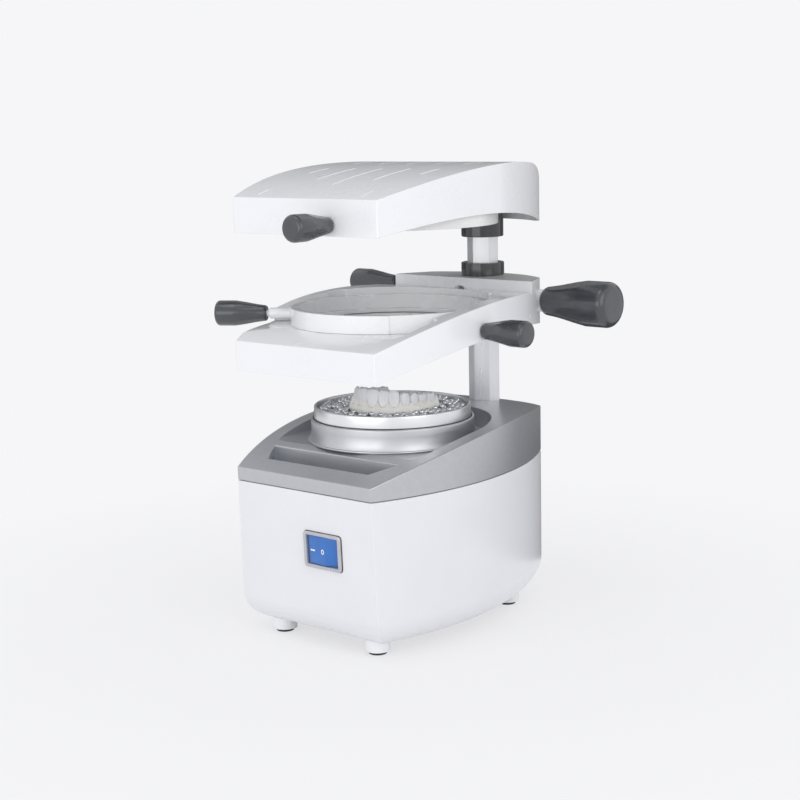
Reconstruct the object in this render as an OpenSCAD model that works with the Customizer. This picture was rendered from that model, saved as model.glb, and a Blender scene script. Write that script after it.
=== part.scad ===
// Tabletop dental vacuum former: a base with the vacuum motor, a hexagonal column,
// a sheet frame that slides on the column and a heater head that swings round it.
// Millimetres, +Z up. The origin is on the table, in the middle of the whole footprint,
// handles included. The modules draw round the axis of the pellet pan, and at_axis()
// moves them to their place.

/* [Outline] */
// Half the width of the base across its bulged sides
half_width = 79.4; // [72:0.2:90]
// Radius of the two bulged sides, seen from above
side_r = 226; // [180:1:320]
// Where the sides are widest, behind the pan axis
side_mid_y = -3.6; // [-12:0.2:8]
// Distance from the pan axis back to the rearmost point
rear_reach = 124; // [121:0.5:140]
// Radius of the bulged rear, seen from above
rear_r = 86; // [80:1:140]

/* [Base] */
// Distance from the pan axis to the front of the base
base_front = 93.5; // [88:0.5:105]
// Height of the underside of the base above the table
base_z = 9; // [7:0.5:16]
// Height of the seam between base and top cover
seam_z = 109.2; // [95:0.5:125]
// Wall thickness of the base
base_wall = 2.8; // [2:0.1:4]
// Radius of the round lower edge of the base
base_round = 20; // [12:1:24]
// How far the front leans back from the seam to the table side
front_lean = 3.9; // [0:0.1:6]
// Dark gap at the seams
seam_gap = 0.4; // [0.3:0.1:0.8]
// Half the width of the removable rear panel
rear_panel_half = 47; // [38:0.5:48]

/* [Top cover] */
// Height of the highest line of the top cover
cover_top = 144.7; // [140:0.5:160]
// Where that line lies behind the pan axis
cover_top_y = 62; // [40:1:80]
// Radius of the crowned top, seen from the side
cover_crown_r = 477; // [400:1:700]
// Wall thickness of the top cover
cover_wall = 2.5; // [2:0.1:4]
// Width of the rim round the pocket
pocket_rim = 11.5; // [9:0.5:14]
// Width of the rim in front of the trough
front_rim = 15.1; // [12:0.1:20]
// Radius of the pocket's sides where they draw in towards the trough
pocket_side_r = 124.5; // [110:0.5:150]
// Radius of the rear of the pocket
pocket_r = 69; // [64:0.5:72]
// Height of the platform that the turret stands on
platform_z = 130.5; // [127:0.5:134]
// Distance from the pan axis to the front face of the platform
platform_front = 61; // [60:0.5:70]
// Height of the floor of the trough in front of the platform
trough_z = 114; // [113:0.5:117]

/* [Turret and pan] */
// Outer radius of the turret
turret_r = 57; // [50:0.1:57.4]
// Width of the flare at the foot of the turret
turret_flare = 2.1; // [1:0.1:3]
// Height of that flare
turret_flare_h = 8; // [3:0.5:9]
// Height of the turret's upper face
turret_top = 146; // [142:0.5:152]
// Wall thickness of the turret
turret_wall = 4; // [3:0.5:6]
// Radius of the suction port in the turret and platform
port_r = 18; // [12:0.5:24]
// Outer radius of the pellet pan
pan_r = 54.6; // [45:0.1:55]
// Height of the pan's rim above the table
pan_top = 155; // [151:0.5:162]
// Wall thickness of the pan
pan_wall = 1.6; // [1.2:0.1:2.5]
// Radius of the suction holes in the pan floor
pan_hole_r = 1.1; // [0.8:0.1:1.3]
// How far the pellets lie below the rim
pellet_drop = 2.6; // [1:0.1:4]
// Diameter of one steel pellet
pellet_d = 3.4; // [2.5:0.1:5]

/* [Dental cast] */
// Half the width of the cast across the molars
arch_half = 28; // [24:0.5:32]
// Distance from the pan axis to the front of the cast
arch_front = 29; // [26:0.5:34]
// Height of the front teeth's edges
incisal_z = 169; // [165:0.5:174]
// Height of the back teeth's crowns
molar_z = 162.5; // [160:0.5:168]

/* [Column] */
// Width of the hexagonal column across its flats
column_af = 20; // [17:0.2:22]
// Distance from the pan axis back to the column axis
column_y = 105.7; // [104:0.1:107]
// Height of the shoulder that the heater head rests on
column_shoulder = 268; // [262:1:300]
// Radius of the round spigot above the shoulder
spigot_r = 8; // [6:0.1:8.4]

/* [Sheet frame] */
// Distance from the pan axis to the front of the frame
frame_front = 89; // [84:0.5:98]
// Height of the frame's highest line at its side
frame_top = 229.9; // [226:0.5:236]
// Where that line lies behind the pan axis
frame_top_y = 45; // [35:1:60]
// Radius of the crowned upper side of the frame
frame_crown_r = 370; // [330:1:500]
// Height of the highest line of the frame's underside
frame_under = 206.8; // [203:0.1:208]
// Where that line lies behind the pan axis
frame_under_y = 50; // [40:1:60]
// Radius of the arched underside
frame_arch_r = 440; // [400:1:600]
// Side wall thickness of the frame
frame_wall = 3; // [2.5:0.1:5]
// Height of the floor that the clamp ring stands on
well_z = 212.3; // [211:0.1:214]
// Radius of the opening that passes over the pan and turret
frame_bore_r = 58.6; // [58:0.1:59]
// Front face of the raised block at the column
block_y = 80; // [77:0.5:86]
// Height of the raised block
block_z = 236.4; // [233:0.2:242]
// Height of the upper end of the black bush
bush_top = 246; // [240:0.5:250]
// Outer radius of the black bushes
bush_r = 15.8; // [14:0.1:16]

/* [Clamp ring and sheet] */
// Outer radius of the clamp ring
ring_r = 69; // [67:0.1:70]
// Height of the clamp ring
ring_h = 12.3; // [9:0.1:14]
// Radius of the ring's upper opening
ring_open_r = 63.6; // [60:0.1:65]
// Radius of the lip that presses on the sheet
ring_lip_r = 59.6; // [58.5:0.1:61]
// Thickness of the lip
ring_lip_t = 3; // [2:0.1:5]
// Radius of the plastic sheet
sheet_r = 62.5; // [61:0.5:63]
// Thickness of the plastic sheet
sheet_t = 1; // [0.5:0.1:1.5]
// Direction of the ring's handle, counted from the right
handle_angle = 210; // [206:1:214]
// How far the handle turns to free the sheet
handle_turn = 24; // [12:1:28]
// Radius of the handle's white stub
stub_r = 3.8; // [3:0.1:4.2]
// Length of the handle's stub outside the ring
stub_len = 17; // [14:0.5:22]

/* [Heater head] */
// Distance from the pan axis to the front of the heater head
heater_front = 85; // [82:0.5:95]
// Height of the heater head's highest line
heater_top = 320.9; // [316:0.5:330]
// Where that line lies behind the pan axis
heater_top_y = 45; // [35:1:60]
// Radius of the crowned top
heater_crown_r = 449; // [400:1:600]
// Height of the arched lower edge
heater_under = 288; // [286:0.5:290]
// Where the lower edge is highest, behind the pan axis
heater_under_y = 10; // [5:1:20]
// Radius of the arched lower edge
heater_arch_r = 446; // [400:1:600]
// Lowest point of the shell
heater_z = 277; // [275:0.5:279]
// Wall thickness of the shell
heater_wall = 2.2; // [1.6:0.1:3]
// Radius of the round upper edge at the rear
heater_round = 14; // [10:0.5:16]
// Outer radius of the white dish under the shell
dish_r = 75.5; // [72:0.1:76]
// Height of the dish's lower rim
dish_z = 280; // [279:0.1:281]
// Distance between the rows of louvre slots
slot_pitch = 25; // [22:0.5:27]
// Width of a louvre slot
slot_w = 2.4; // [1.6:0.1:3.5]
// Height of the lower end of the heater's black bush
heater_bush_z = 264.8; // [260:0.2:266]

/* [Knobs] */
// Length of the small tapered knobs
knob_len = 42; // [36:0.5:48]
// Radius of a small knob at its narrow end
knob_r1 = 5.8; // [5:0.1:7]
// Largest radius of a small knob
knob_r2 = 9.4; // [8:0.1:11]
// Length of the large clamp knob
clamp_knob_len = 62; // [50:0.5:70]
// Radius of the clamp knob at its narrow end
clamp_knob_r1 = 10.4; // [8:0.1:11]
// Largest radius of the clamp knob
clamp_knob_r2 = 16.4; // [14:0.1:16.5]
// Radius of the steel studs in the small knobs
stud_r = 2.5; // [2:0.1:3]
// Radius of the stud of the clamp knob
clamp_stud_r = 4; // [3:0.1:5]

/* [Switch] */
// Width of the switch's frame
switch_w = 33; // [28:0.5:36]
// Height of the switch's frame
switch_h = 24.6; // [22:0.2:28]
// Where the middle of the switch lies, right of the pan axis
switch_x = 16.5; // [12:0.5:20]
// Height of the middle of the switch
switch_z = 70.5; // [60:0.5:80]

/* [Feet] */
// Distance of the feet from the middle line
foot_x = 43; // [38:0.5:46]
// Distance of the front feet before the pan axis
foot_front_y = 70; // [64:0.5:72]
// Distance of the rear feet behind the pan axis
foot_rear_y = 74; // [66:0.5:76]
// Radius of a foot
foot_r = 8.7; // [7:0.1:10]
// Radius of a rubber sole
sole_r = 6.2; // [5:0.1:7]

/* [Fits] */
// Radial gap of turning and sliding fits
running = 0.05; // [0.02:0.01:0.1]
// Gap between parts that lie against each other
seat = 0.2; // [0.1:0.05:0.3]
// Gap round parts that are dropped in
loose = 0.4; // [0.3:0.1:0.6]

/* [Hidden] */
$fn = 96;

// Outline, shared by the base, the frame and the heater head
side_x = side_r - half_width;
rear_y = rear_reach - rear_r;
function side_half(y) = sqrt(pow(side_r, 2) - pow(y - side_mid_y, 2)) - side_x;
function rear_half(y) = sqrt(pow(rear_r, 2) - pow(max(y - rear_y, 0), 2));
function half_at(y) = y > rear_y ? min(side_half(y), rear_half(y)) : side_half(y);

// Where the knobs lie
right_knob_y = 3;
right_knob_z = well_z - 1.3;
left_knob_y = block_y + 4;
left_knob_z = block_z - 7.4;
heater_knob_x = 23;
heater_knob_z = heater_under - 3;
clamp_z = (frame_under + block_z) / 2 - 1.6;
knob_gap = 0.4;
function side_knob_x(y, r) = max(half_at(y - r), half_at(y + r)) + knob_gap;
left_knob_x = side_knob_x(left_knob_y, knob_r1);
right_knob_x = side_knob_x(right_knob_y, knob_r1);
clamp_knob_x = side_knob_x(column_y, clamp_knob_r1);
clamp_reach = clamp_knob_x + clamp_knob_len;
knob_tip = knob_r2 / 3;
handle_reach = knob_tip + (ring_r + stub_len + knob_len - knob_tip) * -cos(handle_angle)
    + (knob_r2 - knob_tip) * -sin(handle_angle);
left_reach = max(left_knob_x + knob_len, handle_reach);
front_reach = heater_front + knob_gap + knob_len;

// Middle of the footprint
axis_x = (left_reach - clamp_reach) / 2;
axis_y = (front_reach - rear_reach) / 2;

// Base
base_top = seam_z - seam_gap / 2;
cover_z = seam_z + seam_gap / 2;
lean_angle = atan(front_lean / (seam_z - base_z));
floor_t = 4;
floor_z = base_z + floor_t;
hatch_w = 56;
hatch_y0 = -50;
hatch_y1 = 34;
hatch_rebate = 5;
hatch_t = 2;
pocket_half = half_width - 8.9;
tongue_h = 4;
tongue_t = 1.6;

// Rear panel
panel_z0 = base_z + base_round + 2;
panel_z1 = seam_z - 5;
panel_t = base_wall / 2 - 0.1;
panel_ledge = 4;
panel_y = 84;
exhaust_n = 9;
exhaust_pitch = 6;
exhaust_w = 2.6;
gland_turn = 20;
gland_z = panel_z0 + 14;
gland_r = 6;
cord_r = 3.6;
fuse_turn = -20;
fuse_r = 6.2;

// Motor, fan and duct
motor_r = 36;
motor_z = 32;
motor_top = 68;
fan_r = 52;
fan_wall = 2.2;
fan_top = 102;
shaft_r = 4;
impeller_r = 45;
impeller_z = 76;
impeller_h = 18;
vanes = 7;
duct_wall = 3;
leg_r = 4;
leg_ring_r = 46;
under_platform = platform_z - cover_wall;

// Turret, pan and pellets
gasket_t = 0.6;
pan_z = turret_top + gasket_t;
bowl_z = platform_z + 3.5;
spigot_drop = 5;
pan_floor = pan_z + 1.5;
pellets_z = pan_floor + 0.2;
pellets_top = pan_top - pellet_drop;
hole_rings = 5;

// Cast
gum_z = 158;
cast_z = pellets_top + seat;
arch_r = arch_half - 5.6;
arch_y = arch_r + 3.6 - arch_front;
leg_len = 25;
leg_turn = 4;
quarter = arch_r * PI / 2;

// Column
column_r = column_af / sqrt(3);
column_z = 30;
socket_z = 24;
bush_z = frame_under - 4.4;
bolt_r = 4;
washer_t = 1.5;
heater_bush_top = heater_under + 12;
nut_z = heater_bush_top + seat + washer_t;
spigot_top = nut_z + 6.8;

// Sheet frame
seat_r = sheet_r + 0.5;
sheet_z = well_z - sheet_t - 0.1;
gasket_z = sheet_z - 2;
tube_t = 3;
tube_z = frame_under - 8;
slide_down = 60;
rest_gap = 0.6;
well_r = ring_r + 1;
handle_z = well_z + ring_h / 2;
handle_side = stub_r + 1.6;
right_rim = 8;
pin_r = 6;
pin_x = -1.5;
lug_angles = [20, 140];
lug_r = well_r + 2;
lug_h = 3;
lug_half = 5;
boss_r = 8;
ring_step = 1.4;
pad_t = 2.6;

// Heater head
bracket_z = heater_under + 4.2;
bracket_t = 2;
dish_top = bracket_z - seat;
dish_t = 1.5;
bush_shoulder = bracket_z - seat;
post_x = 34;
post_ys = [46, 84];
element_r = [50, 27];
rod_r = 3.2;
element_z = dish_z + 4.5;
reflector_z = dish_top - dish_t - 2;
terminal_x = 9;

module at_axis() {
    translate([axis_x, axis_y, 0]) children();
}

// A disc from z0 to z1 whose lower edge is rounded
module disc(r, z0, z1, low) {
    rotate_extrude($fn = 240) {
        translate([0, z0 + low]) square([r, z1 - z0 - low]);
        if (low > 0) {
            translate([0, z0]) square([r - low, low + 1]);
            intersection() {
                translate([r - low, z0 + low]) circle(r = low);
                translate([r - low - 1, z0]) square([low + 1, low + 1]);
            }
        }
    }
}

// Everything behind the front face, which leans and runs into a rounded lower edge
module front_slab(front, z0, z1, low, lean, z_ref) {
    knee = -front + (z_ref - z0 - low) * tan(lean);
    back = rear_reach + 40;
    rotate([90, 0, 90]) translate([0, 0, -150]) linear_extrude(300) polygon([
        [-front + (z_ref - z1) * tan(lean), z1],
        for (turn = [0:10:low > 0 ? 90 : 0])
            [knee + low * (1 - cos(turn)), z0 + low * (1 - sin(turn))],
        [back, z0],
        [back, z1],
    ]);
}

// The front and the two sides of the shared outline, drawn in by inset
module sides(inset, front, z0, z1, low = 0, lean = 0, z_ref = 0) {
    intersection() {
        translate([side_x, side_mid_y, 0]) disc(side_r - inset, z0, z1, low);
        translate([-side_x, side_mid_y, 0]) disc(side_r - inset, z0, z1, low);
        front_slab(front - inset, z0, z1, low, lean, z_ref);
    }
}

// The whole outline, with its bulged rear
module outline(inset, front, z0, z1, low = 0, lean = 0, z_ref = 0) {
    intersection() {
        sides(inset, front, z0, z1, low, lean, z_ref);
        union() {
            translate([0, rear_y, 0]) disc(rear_r - inset, z0, z1, low);
            translate([-half_width - 9, -front - 9, z0]) cube([2 * half_width + 18, front + 9 + rear_y, z1 - z0]);
        }
    }
}

// A long cylinder across the part: its upper side is a crown or an arch
module barrel(top, y, r) {
    translate([-150, y, top - r]) rotate([0, 90, 0]) cylinder(r = r, h = 300, $fn = 360);
}

module ring(r, wall, z0, z1) {
    translate([0, 0, z0]) difference() {
        cylinder(r = r, h = z1 - z0);
        translate([0, 0, -1]) cylinder(r = r - wall, h = z1 - z0 + 2);
    }
}

// A wedge of the space round the axis, from angle a0 to a1
module wedge(a0, a1, r, z0, z1) {
    translate([0, 0, z0]) rotate([0, 0, a0]) rotate_extrude(angle = a1 - a0) square([r, z1 - z0]);
}

// A hexagonal prism with its flats to the left and right
module hex(af, z0, z1) {
    translate([0, 0, z0]) rotate([0, 0, 30]) cylinder(r = af / sqrt(3), h = z1 - z0, $fn = 6);
}

// The same prism on the column's axis
module column_hex(af, z0, z1) {
    translate([0, column_y, 0]) hex(af, z0, z1);
}

// A box from corner to corner
module block(a, b) {
    translate(a) cube(b - a);
}

// A handle knob along +Z: narrow at its foot, swelling, then round at the end
module knob(len, r1, r2, bore_r, bore_len) {
    shoulder = r1 / 3;
    swell = 0.62 * len;
    tip = r2 / 3;
    steps = 10;
    difference() {
        rotate_extrude() {
            polygon(concat(
                [[0, 0], [r1 - shoulder, 0]],
                [for (i = [1 : 4]) [r1 - shoulder * (1 - sin(i * 22.5)), shoulder * (1 - cos(i * 22.5))]],
                [for (i = [1 : steps]) [
                    r1 + (r2 - r1) * (1 - cos(180 * i / steps)) / 2,
                    shoulder + (swell - shoulder) * i / steps
                ]],
                [[r2, len - tip], [r2 - tip, len], [0, len]]
            ));
            translate([r2 - tip, len - tip]) circle(r = tip);
        }
        translate([0, 0, -1]) cylinder(r = bore_r, h = bore_len + 1);
    }
}

// Base

module base_body(inset, z0, z1) {
    low = base_round - inset;
    outline(inset, base_front, z0, z1, low, lean_angle, seam_z);
}

// The place of a point on the leaning front face, with -Y pointing out of it
module on_front(x, z) {
    translate([x, -base_front + (seam_z - z) * tan(lean_angle), z])
        rotate([lean_angle, 0, 0]) children();
}

module base_housing() {
    color("WhiteSmoke") difference() {
        base_body(0, base_z, base_top);
        base_body(base_wall, floor_z, base_top + 1);
        // service hatch in the floor, with the rebate that its plate lies in
        block([-hatch_w / 2, hatch_y0, base_z - 1], [hatch_w / 2, hatch_y1, floor_z + 1]);
        block(
            [-hatch_w / 2 - hatch_rebate, hatch_y0 - hatch_rebate, base_z - 1],
            [hatch_w / 2 + hatch_rebate, hatch_y1 + hatch_rebate, base_z + hatch_t]
        );
        // rebate and opening of the rear panel
        difference() {
            block(
                [-rear_panel_half - seam_gap, panel_y, panel_z0 - seam_gap],
                [rear_panel_half + seam_gap, rear_reach + 1, panel_z1 + seam_gap]
            );
            outline(panel_t + 0.1, base_front, base_z, base_top);
        }
        block(
            [-rear_panel_half + panel_ledge, panel_y, panel_z0 + panel_ledge],
            [rear_panel_half - panel_ledge, rear_reach + 1, panel_z1 - panel_ledge]
        );
        // switch opening
        on_front(switch_x, switch_z)
            block([-switch_w / 2 + 1, -5, -switch_h / 2 + 1], [switch_w / 2 - 1, 9, switch_h / 2 - 1]);
        // access to the column bolt
        translate([0, column_y, 0]) cylinder(r = bolt_r + 5, h = socket_z);
    }
}

module rear_panel() {
    color("Gainsboro") intersection() {
        difference() {
            outline(0, base_front, base_z, base_top);
            outline(panel_t, base_front, base_z - 1, base_top + 1);
            for (i = [0 : exhaust_n - 1])
                translate([(i - (exhaust_n - 1) / 2) * exhaust_pitch, 0, 0])
                    block(
                        [-exhaust_w / 2, panel_y, panel_z0 + 28],
                        [exhaust_w / 2, rear_reach + 1, panel_z1 - 8]
                    );
            on_rear(gland_turn, gland_z) translate([0, 0, -9]) cylinder(r = gland_r + seat, h = 18);
            on_rear(fuse_turn, gland_z) translate([0, 0, -9]) cylinder(r = fuse_r + seat, h = 18);
        }
        block([-rear_panel_half, panel_y, panel_z0], [rear_panel_half, rear_reach + 1, panel_z1]);
    }
}

module bottom_plate() {
    side = hatch_w / 2 + hatch_rebate - seam_gap;
    color("Silver") difference() {
        block(
            [-side, hatch_y0 - hatch_rebate + seam_gap, base_z + seat / 2],
            [side, hatch_y1 + hatch_rebate - seam_gap, base_z + hatch_t - seat / 2]
        );
        // cooling slots under the motor
        for (i = [-4 : 4])
            block([i * 5.5 - 1.2, -24, base_z - 1], [i * 5.5 + 1.2, 8, base_z + hatch_t + 1]);
    }
}

// A place on the bulged rear, with +Z pointing straight out of it
module on_rear(turn, z) {
    translate([0, rear_y, z]) rotate([0, 0, turn]) translate([0, rear_r, 0])
        rotate([-90, 0, 0]) children();
}

module cord_gland() {
    color("DimGray") on_rear(gland_turn, gland_z) difference() {
        union() {
            translate([0, 0, -9]) cylinder(r = gland_r, h = 14);
            translate([0, 0, seat / 2]) cylinder(r1 = gland_r + 3, r2 = gland_r + 2, h = 3);
            translate([0, 0, -6]) cylinder(r = gland_r + 2.5, h = 3.2, $fn = 6);
        }
        translate([0, 0, -12]) cylinder(r = cord_r, h = 30);
    }
}

module fuse_holder() {
    color("DimGray") on_rear(fuse_turn, gland_z) difference() {
        union() {
            translate([0, 0, -22]) cylinder(r = fuse_r, h = 24);
            translate([0, 0, seat / 2]) cylinder(r = fuse_r + 2.6, h = 2.4);
            translate([0, 0, 1]) cylinder(r = fuse_r - 1, h = 3.8);
        }
        block([-fuse_r, -0.6, 3.8], [fuse_r, 0.6, 9]);
    }
}

module terminal_block() {
    color("Ivory") difference() {
        block([-18, hatch_y0 - 19, floor_z], [18, hatch_y0 - 7, floor_z + 12]);
        for (i = [-2 : 2])
            translate([i * 7, 0, 0]) {
                block([-2.6, hatch_y0 - 20, floor_z + 3], [2.6, hatch_y0 - 6, floor_z + 7]);
                translate([0, hatch_y0 - 13, floor_z + 6]) cylinder(r = 1.8, h = 10);
            }
    }
}

module foot(x, y) {
    color("White") difference() {
        translate([x, y, 2.2]) cylinder(r = foot_r, h = base_z + 4);
        base_body(0, base_z, base_top);
        translate([x, y, 0]) cylinder(r = 2.2, h = base_z + 2);
    }
}

module sole(x, y) {
    color("#222222") translate([x, y, 0]) cylinder(r = sole_r, h = 2.2);
}

module foot_front_left() { foot(-foot_x, -foot_front_y); }
module foot_front_right() { foot(foot_x, -foot_front_y); }
module foot_rear_left() { foot(-foot_x, foot_rear_y); }
module foot_rear_right() { foot(foot_x, foot_rear_y); }
module sole_front_left() { sole(-foot_x, -foot_front_y); }
module sole_front_right() { sole(foot_x, -foot_front_y); }
module sole_rear_left() { sole(-foot_x, foot_rear_y); }
module sole_rear_right() { sole(foot_x, foot_rear_y); }

// Vacuum motor and fan

module motor_body() {
    color("SlateGray") difference() {
        union() {
            translate([0, 0, motor_z]) cylinder(r = motor_r, h = motor_top - motor_z - 6);
            translate([0, 0, motor_top - 7]) cylinder(r = motor_r - 8, h = 7);
            translate([0, 0, motor_z - 6]) cylinder(r = 14, h = 8);
        }
        translate([0, 0, motor_z + 10]) cylinder(r = shaft_r + running, h = 60);
        // cooling windows round the windings
        for (i = [0 : 7])
            rotate([0, 0, i * 45])
                block([motor_r - 6, -5, motor_z + 6], [motor_r + 2, 5, motor_top - 12]);
    }
}

module motor_bracket() {
    color("Silver") {
        ring(leg_ring_r + leg_r + 1, leg_ring_r + leg_r - motor_r + 10, motor_top, motor_top + 2);
        for (a = [90, 210, 330])
            rotate([0, 0, a]) translate([leg_ring_r, 0, floor_z]) {
                cylinder(r = leg_r, h = motor_top - floor_z + 1);
                cylinder(r = leg_r + 3, h = 2.5);
            }
    }
}

module fan_housing() {
    color("LightSlateGray") difference() {
        translate([0, 0, motor_top + 2]) cylinder(r = fan_r, h = fan_top - motor_top - 2);
        translate([0, 0, motor_top + 4.2])
            cylinder(r = fan_r - fan_wall, h = fan_top - motor_top - 4.2 - fan_wall);
        translate([0, 0, motor_top]) cylinder(r = 12, h = 10);
        translate([0, 0, fan_top - 5]) cylinder(r = port_r, h = 10);
        // outlets towards the exhaust slots
        for (i = [0 : 8])
            rotate([0, 0, 50 + i * 10])
                block([fan_r - 6, -2.6, motor_top + 6], [fan_r + 2, 2.6, fan_top - 6]);
    }
}

module impeller() {
    color("DarkGray") difference() {
        union() {
            translate([0, 0, impeller_z]) cylinder(r = impeller_r, h = 1.6);
            ring(impeller_r, impeller_r - port_r + 1, impeller_z + impeller_h - 1.6, impeller_z + impeller_h);
            translate([0, 0, impeller_z]) cylinder(r1 = 11, r2 = 7, h = impeller_h - 2);
            for (i = [0 : vanes - 1])
                rotate([0, 0, i * 360 / vanes]) intersection() {
                    translate([-26, 20, 0]) ring(39, 1.4, impeller_z + 1, impeller_z + impeller_h - 1);
                    ring(impeller_r - 0.5, impeller_r - 15, impeller_z, impeller_z + impeller_h);
                    block([0, -60, impeller_z], [60, 60, impeller_z + impeller_h]);
                }
        }
        translate([0, 0, impeller_z - 1]) cylinder(r = shaft_r, h = impeller_h + 2);
    }
}

module motor_shaft() {
    color("Silver") translate([0, 0, motor_z + 12]) cylinder(r = shaft_r, h = impeller_z + impeller_h - motor_z - 13);
}

module vacuum_duct() {
    color("DimGray") {
        ring(port_r + duct_wall, duct_wall, fan_top, under_platform);
        ring(port_r + duct_wall + 6, 6.5, fan_top, fan_top + 2);
    }
}

// Top cover with its pocket, platform and trough

module cover_solid(inset) {
    intersection() {
        outline(inset, base_front, cover_z, cover_top + 1, 0, lean_angle, seam_z);
        barrel(cover_top - inset, cover_top_y, cover_crown_r);
    }
}

// The hollow in the top; grow thickens it into the skin that forms it
module pocket(grow) {
    intersection() {
        outline(pocket_rim - grow, base_front - front_rim + pocket_rim, trough_z - grow, cover_top + 9);
        translate([pocket_half - pocket_side_r, side_mid_y, 0]) cylinder(r = pocket_side_r + grow, h = 300);
        translate([pocket_side_r - pocket_half, side_mid_y, 0]) cylinder(r = pocket_side_r + grow, h = 300);
        union() {
            block([-90, -100, trough_z - grow], [90, 0, cover_top + 9]);
            translate([0, 0, trough_z - grow]) cylinder(r = pocket_r + grow, h = 60);
        }
        union() {
            block([-90, -100, trough_z - grow], [90, -platform_front + grow, cover_top + 9]);
            block([-90, -platform_front - 1, platform_z - grow], [90, 90, cover_top + 9]);
        }
    }
}

module top_cover() {
    color("DarkGray") {
        difference() {
            cover_solid(0);
            difference() {
                translate([0, 0, -0.01]) cover_solid(cover_wall);
                pocket(cover_wall);
            }
            pocket(0);
            translate([0, 0, platform_z - 10]) cylinder(r = port_r, h = 20);
            column_hex(column_af + 1, cover_z - 1, cover_top + 1);
        }
        // tongue that fits inside the base, on a ledge of the wall
        difference() {
            union() {
                outline(1, base_front, cover_z, cover_z + tongue_t, 0, lean_angle, seam_z);
                outline(base_wall + seat, base_front, cover_z - tongue_h, cover_z + 1, 0, lean_angle, seam_z);
            }
            outline(base_wall + seat + tongue_t, base_front, cover_z - tongue_h - 1, cover_z + 3,
                0, lean_angle, seam_z);
        }
    }
}

module turret() {
    color("Silver") difference() {
        union() {
            translate([0, 0, platform_z]) cylinder(r = turret_r, h = turret_top - platform_z);
            translate([0, 0, platform_z + 0.8])
                cylinder(r1 = turret_r + turret_flare, r2 = turret_r, h = turret_flare_h);
            translate([0, 0, platform_z]) cylinder(r = turret_r + turret_flare, h = 0.8);
        }
        translate([0, 0, bowl_z]) cylinder(r = turret_r - turret_wall, h = 40);
        translate([0, 0, platform_z - 1]) cylinder(r = port_r, h = 10);
    }
}

module pan_gasket() {
    color("#333333") ring(turret_r - 1, turret_wall - 1.6, turret_top, turret_top + gasket_t);
}

module pellet_pan() {
    color("Gainsboro") difference() {
        union() {
            translate([0, 0, pan_z]) cylinder(r = pan_r, h = pan_top - pan_z);
            translate([0, 0, pan_z - spigot_drop])
                cylinder(r = turret_r - turret_wall - loose, h = spigot_drop + 1);
        }
        translate([0, 0, pan_floor]) cylinder(r = pan_r - pan_wall, h = 20);
        translate([0, 0, pan_z - spigot_drop - 1])
            cylinder(r = turret_r - turret_wall - loose - 2, h = spigot_drop + 1);
        // suction holes in rings
        for (k = [0 : hole_rings - 1])
            for (i = [0 : max(0, 6 * k - 1)])
                rotate([0, 0, i * 360 / max(1, 6 * k)])
                    translate([k * 9.6, 0, pan_z - 1]) cylinder(r = pan_hole_r, h = 5, $fn = 16);
    }
}

module pellets() {
    color("Silver") translate([0, 0, pellets_z])
        cylinder(r = pan_r - pan_wall - seat, h = pellets_top - pellets_z);
}

// Dental cast: x across the arch, the incisors at the front

module gum_section() {
    h = gum_z - cast_z;
    polygon([[-6.4, 0], [5.4, 0], [5.6, 1.5], [3.6, h - 2.4], [-3.4, h - 2.4]]);
    translate([0.1, h - 3.5]) circle(r = 3.5);
}

// Carries a tooth to its place, s along the arch from the middle, on side 1 or -1
module tooth_place(s, side) {
    turn = min(s, quarter) / arch_r * 180 / PI;
    back = max(s - quarter, 0);
    translate([0, arch_y, gum_z])
        mirror([side < 0 ? 1 : 0, 0, 0])
            translate([back > 0 ? arch_r : 0, 0, 0])
                rotate([0, 0, back > 0 ? leg_turn : 0])
                    translate([back > 0 ? -arch_r : 0, back, 0])
                        rotate([0, 0, turn - 90])
                            translate([arch_r, 0, 0]) rotate([0, 0, 90]) children();
}

// A front tooth: two curved faces that close towards the edge; -Y is its outer side
module front_tooth(w, h, point) {
    intersection() {
        translate([-w, 13.2, h * 0.3]) rotate([0, 90, 0]) cylinder(r = 16.6, h = 2 * w);
        translate([-w, -13.6, -1]) rotate([0, 90, 0]) cylinder(r = 17.9, h = 2 * w);
        translate([0, 0.8, -3]) cylinder(r1 = w * 0.4, r2 = w * 0.56, h = h + 3);
        translate([0, 0, h - 14]) cylinder(r1 = 14 + point, r2 = point, h = 14);
    }
}

// A back tooth: a rounded block with a groove along its crown and one across
module back_tooth(w, h) {
    difference() {
        intersection() {
            translate([0, 0, h * 0.35]) sphere(r = w * 0.66);
            block([-w / 2, -4.7, -3], [w / 2, 4.7, h]);
        }
        translate([-w, 0, h + 1.6]) rotate([0, 90, 0]) cylinder(r = 2.6, h = 2 * w, $fn = 48);
        translate([0.4, w, h + 1.3]) rotate([90, 0, 0]) cylinder(r = 1.9, h = 2 * w, $fn = 48);
    }
}

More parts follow.
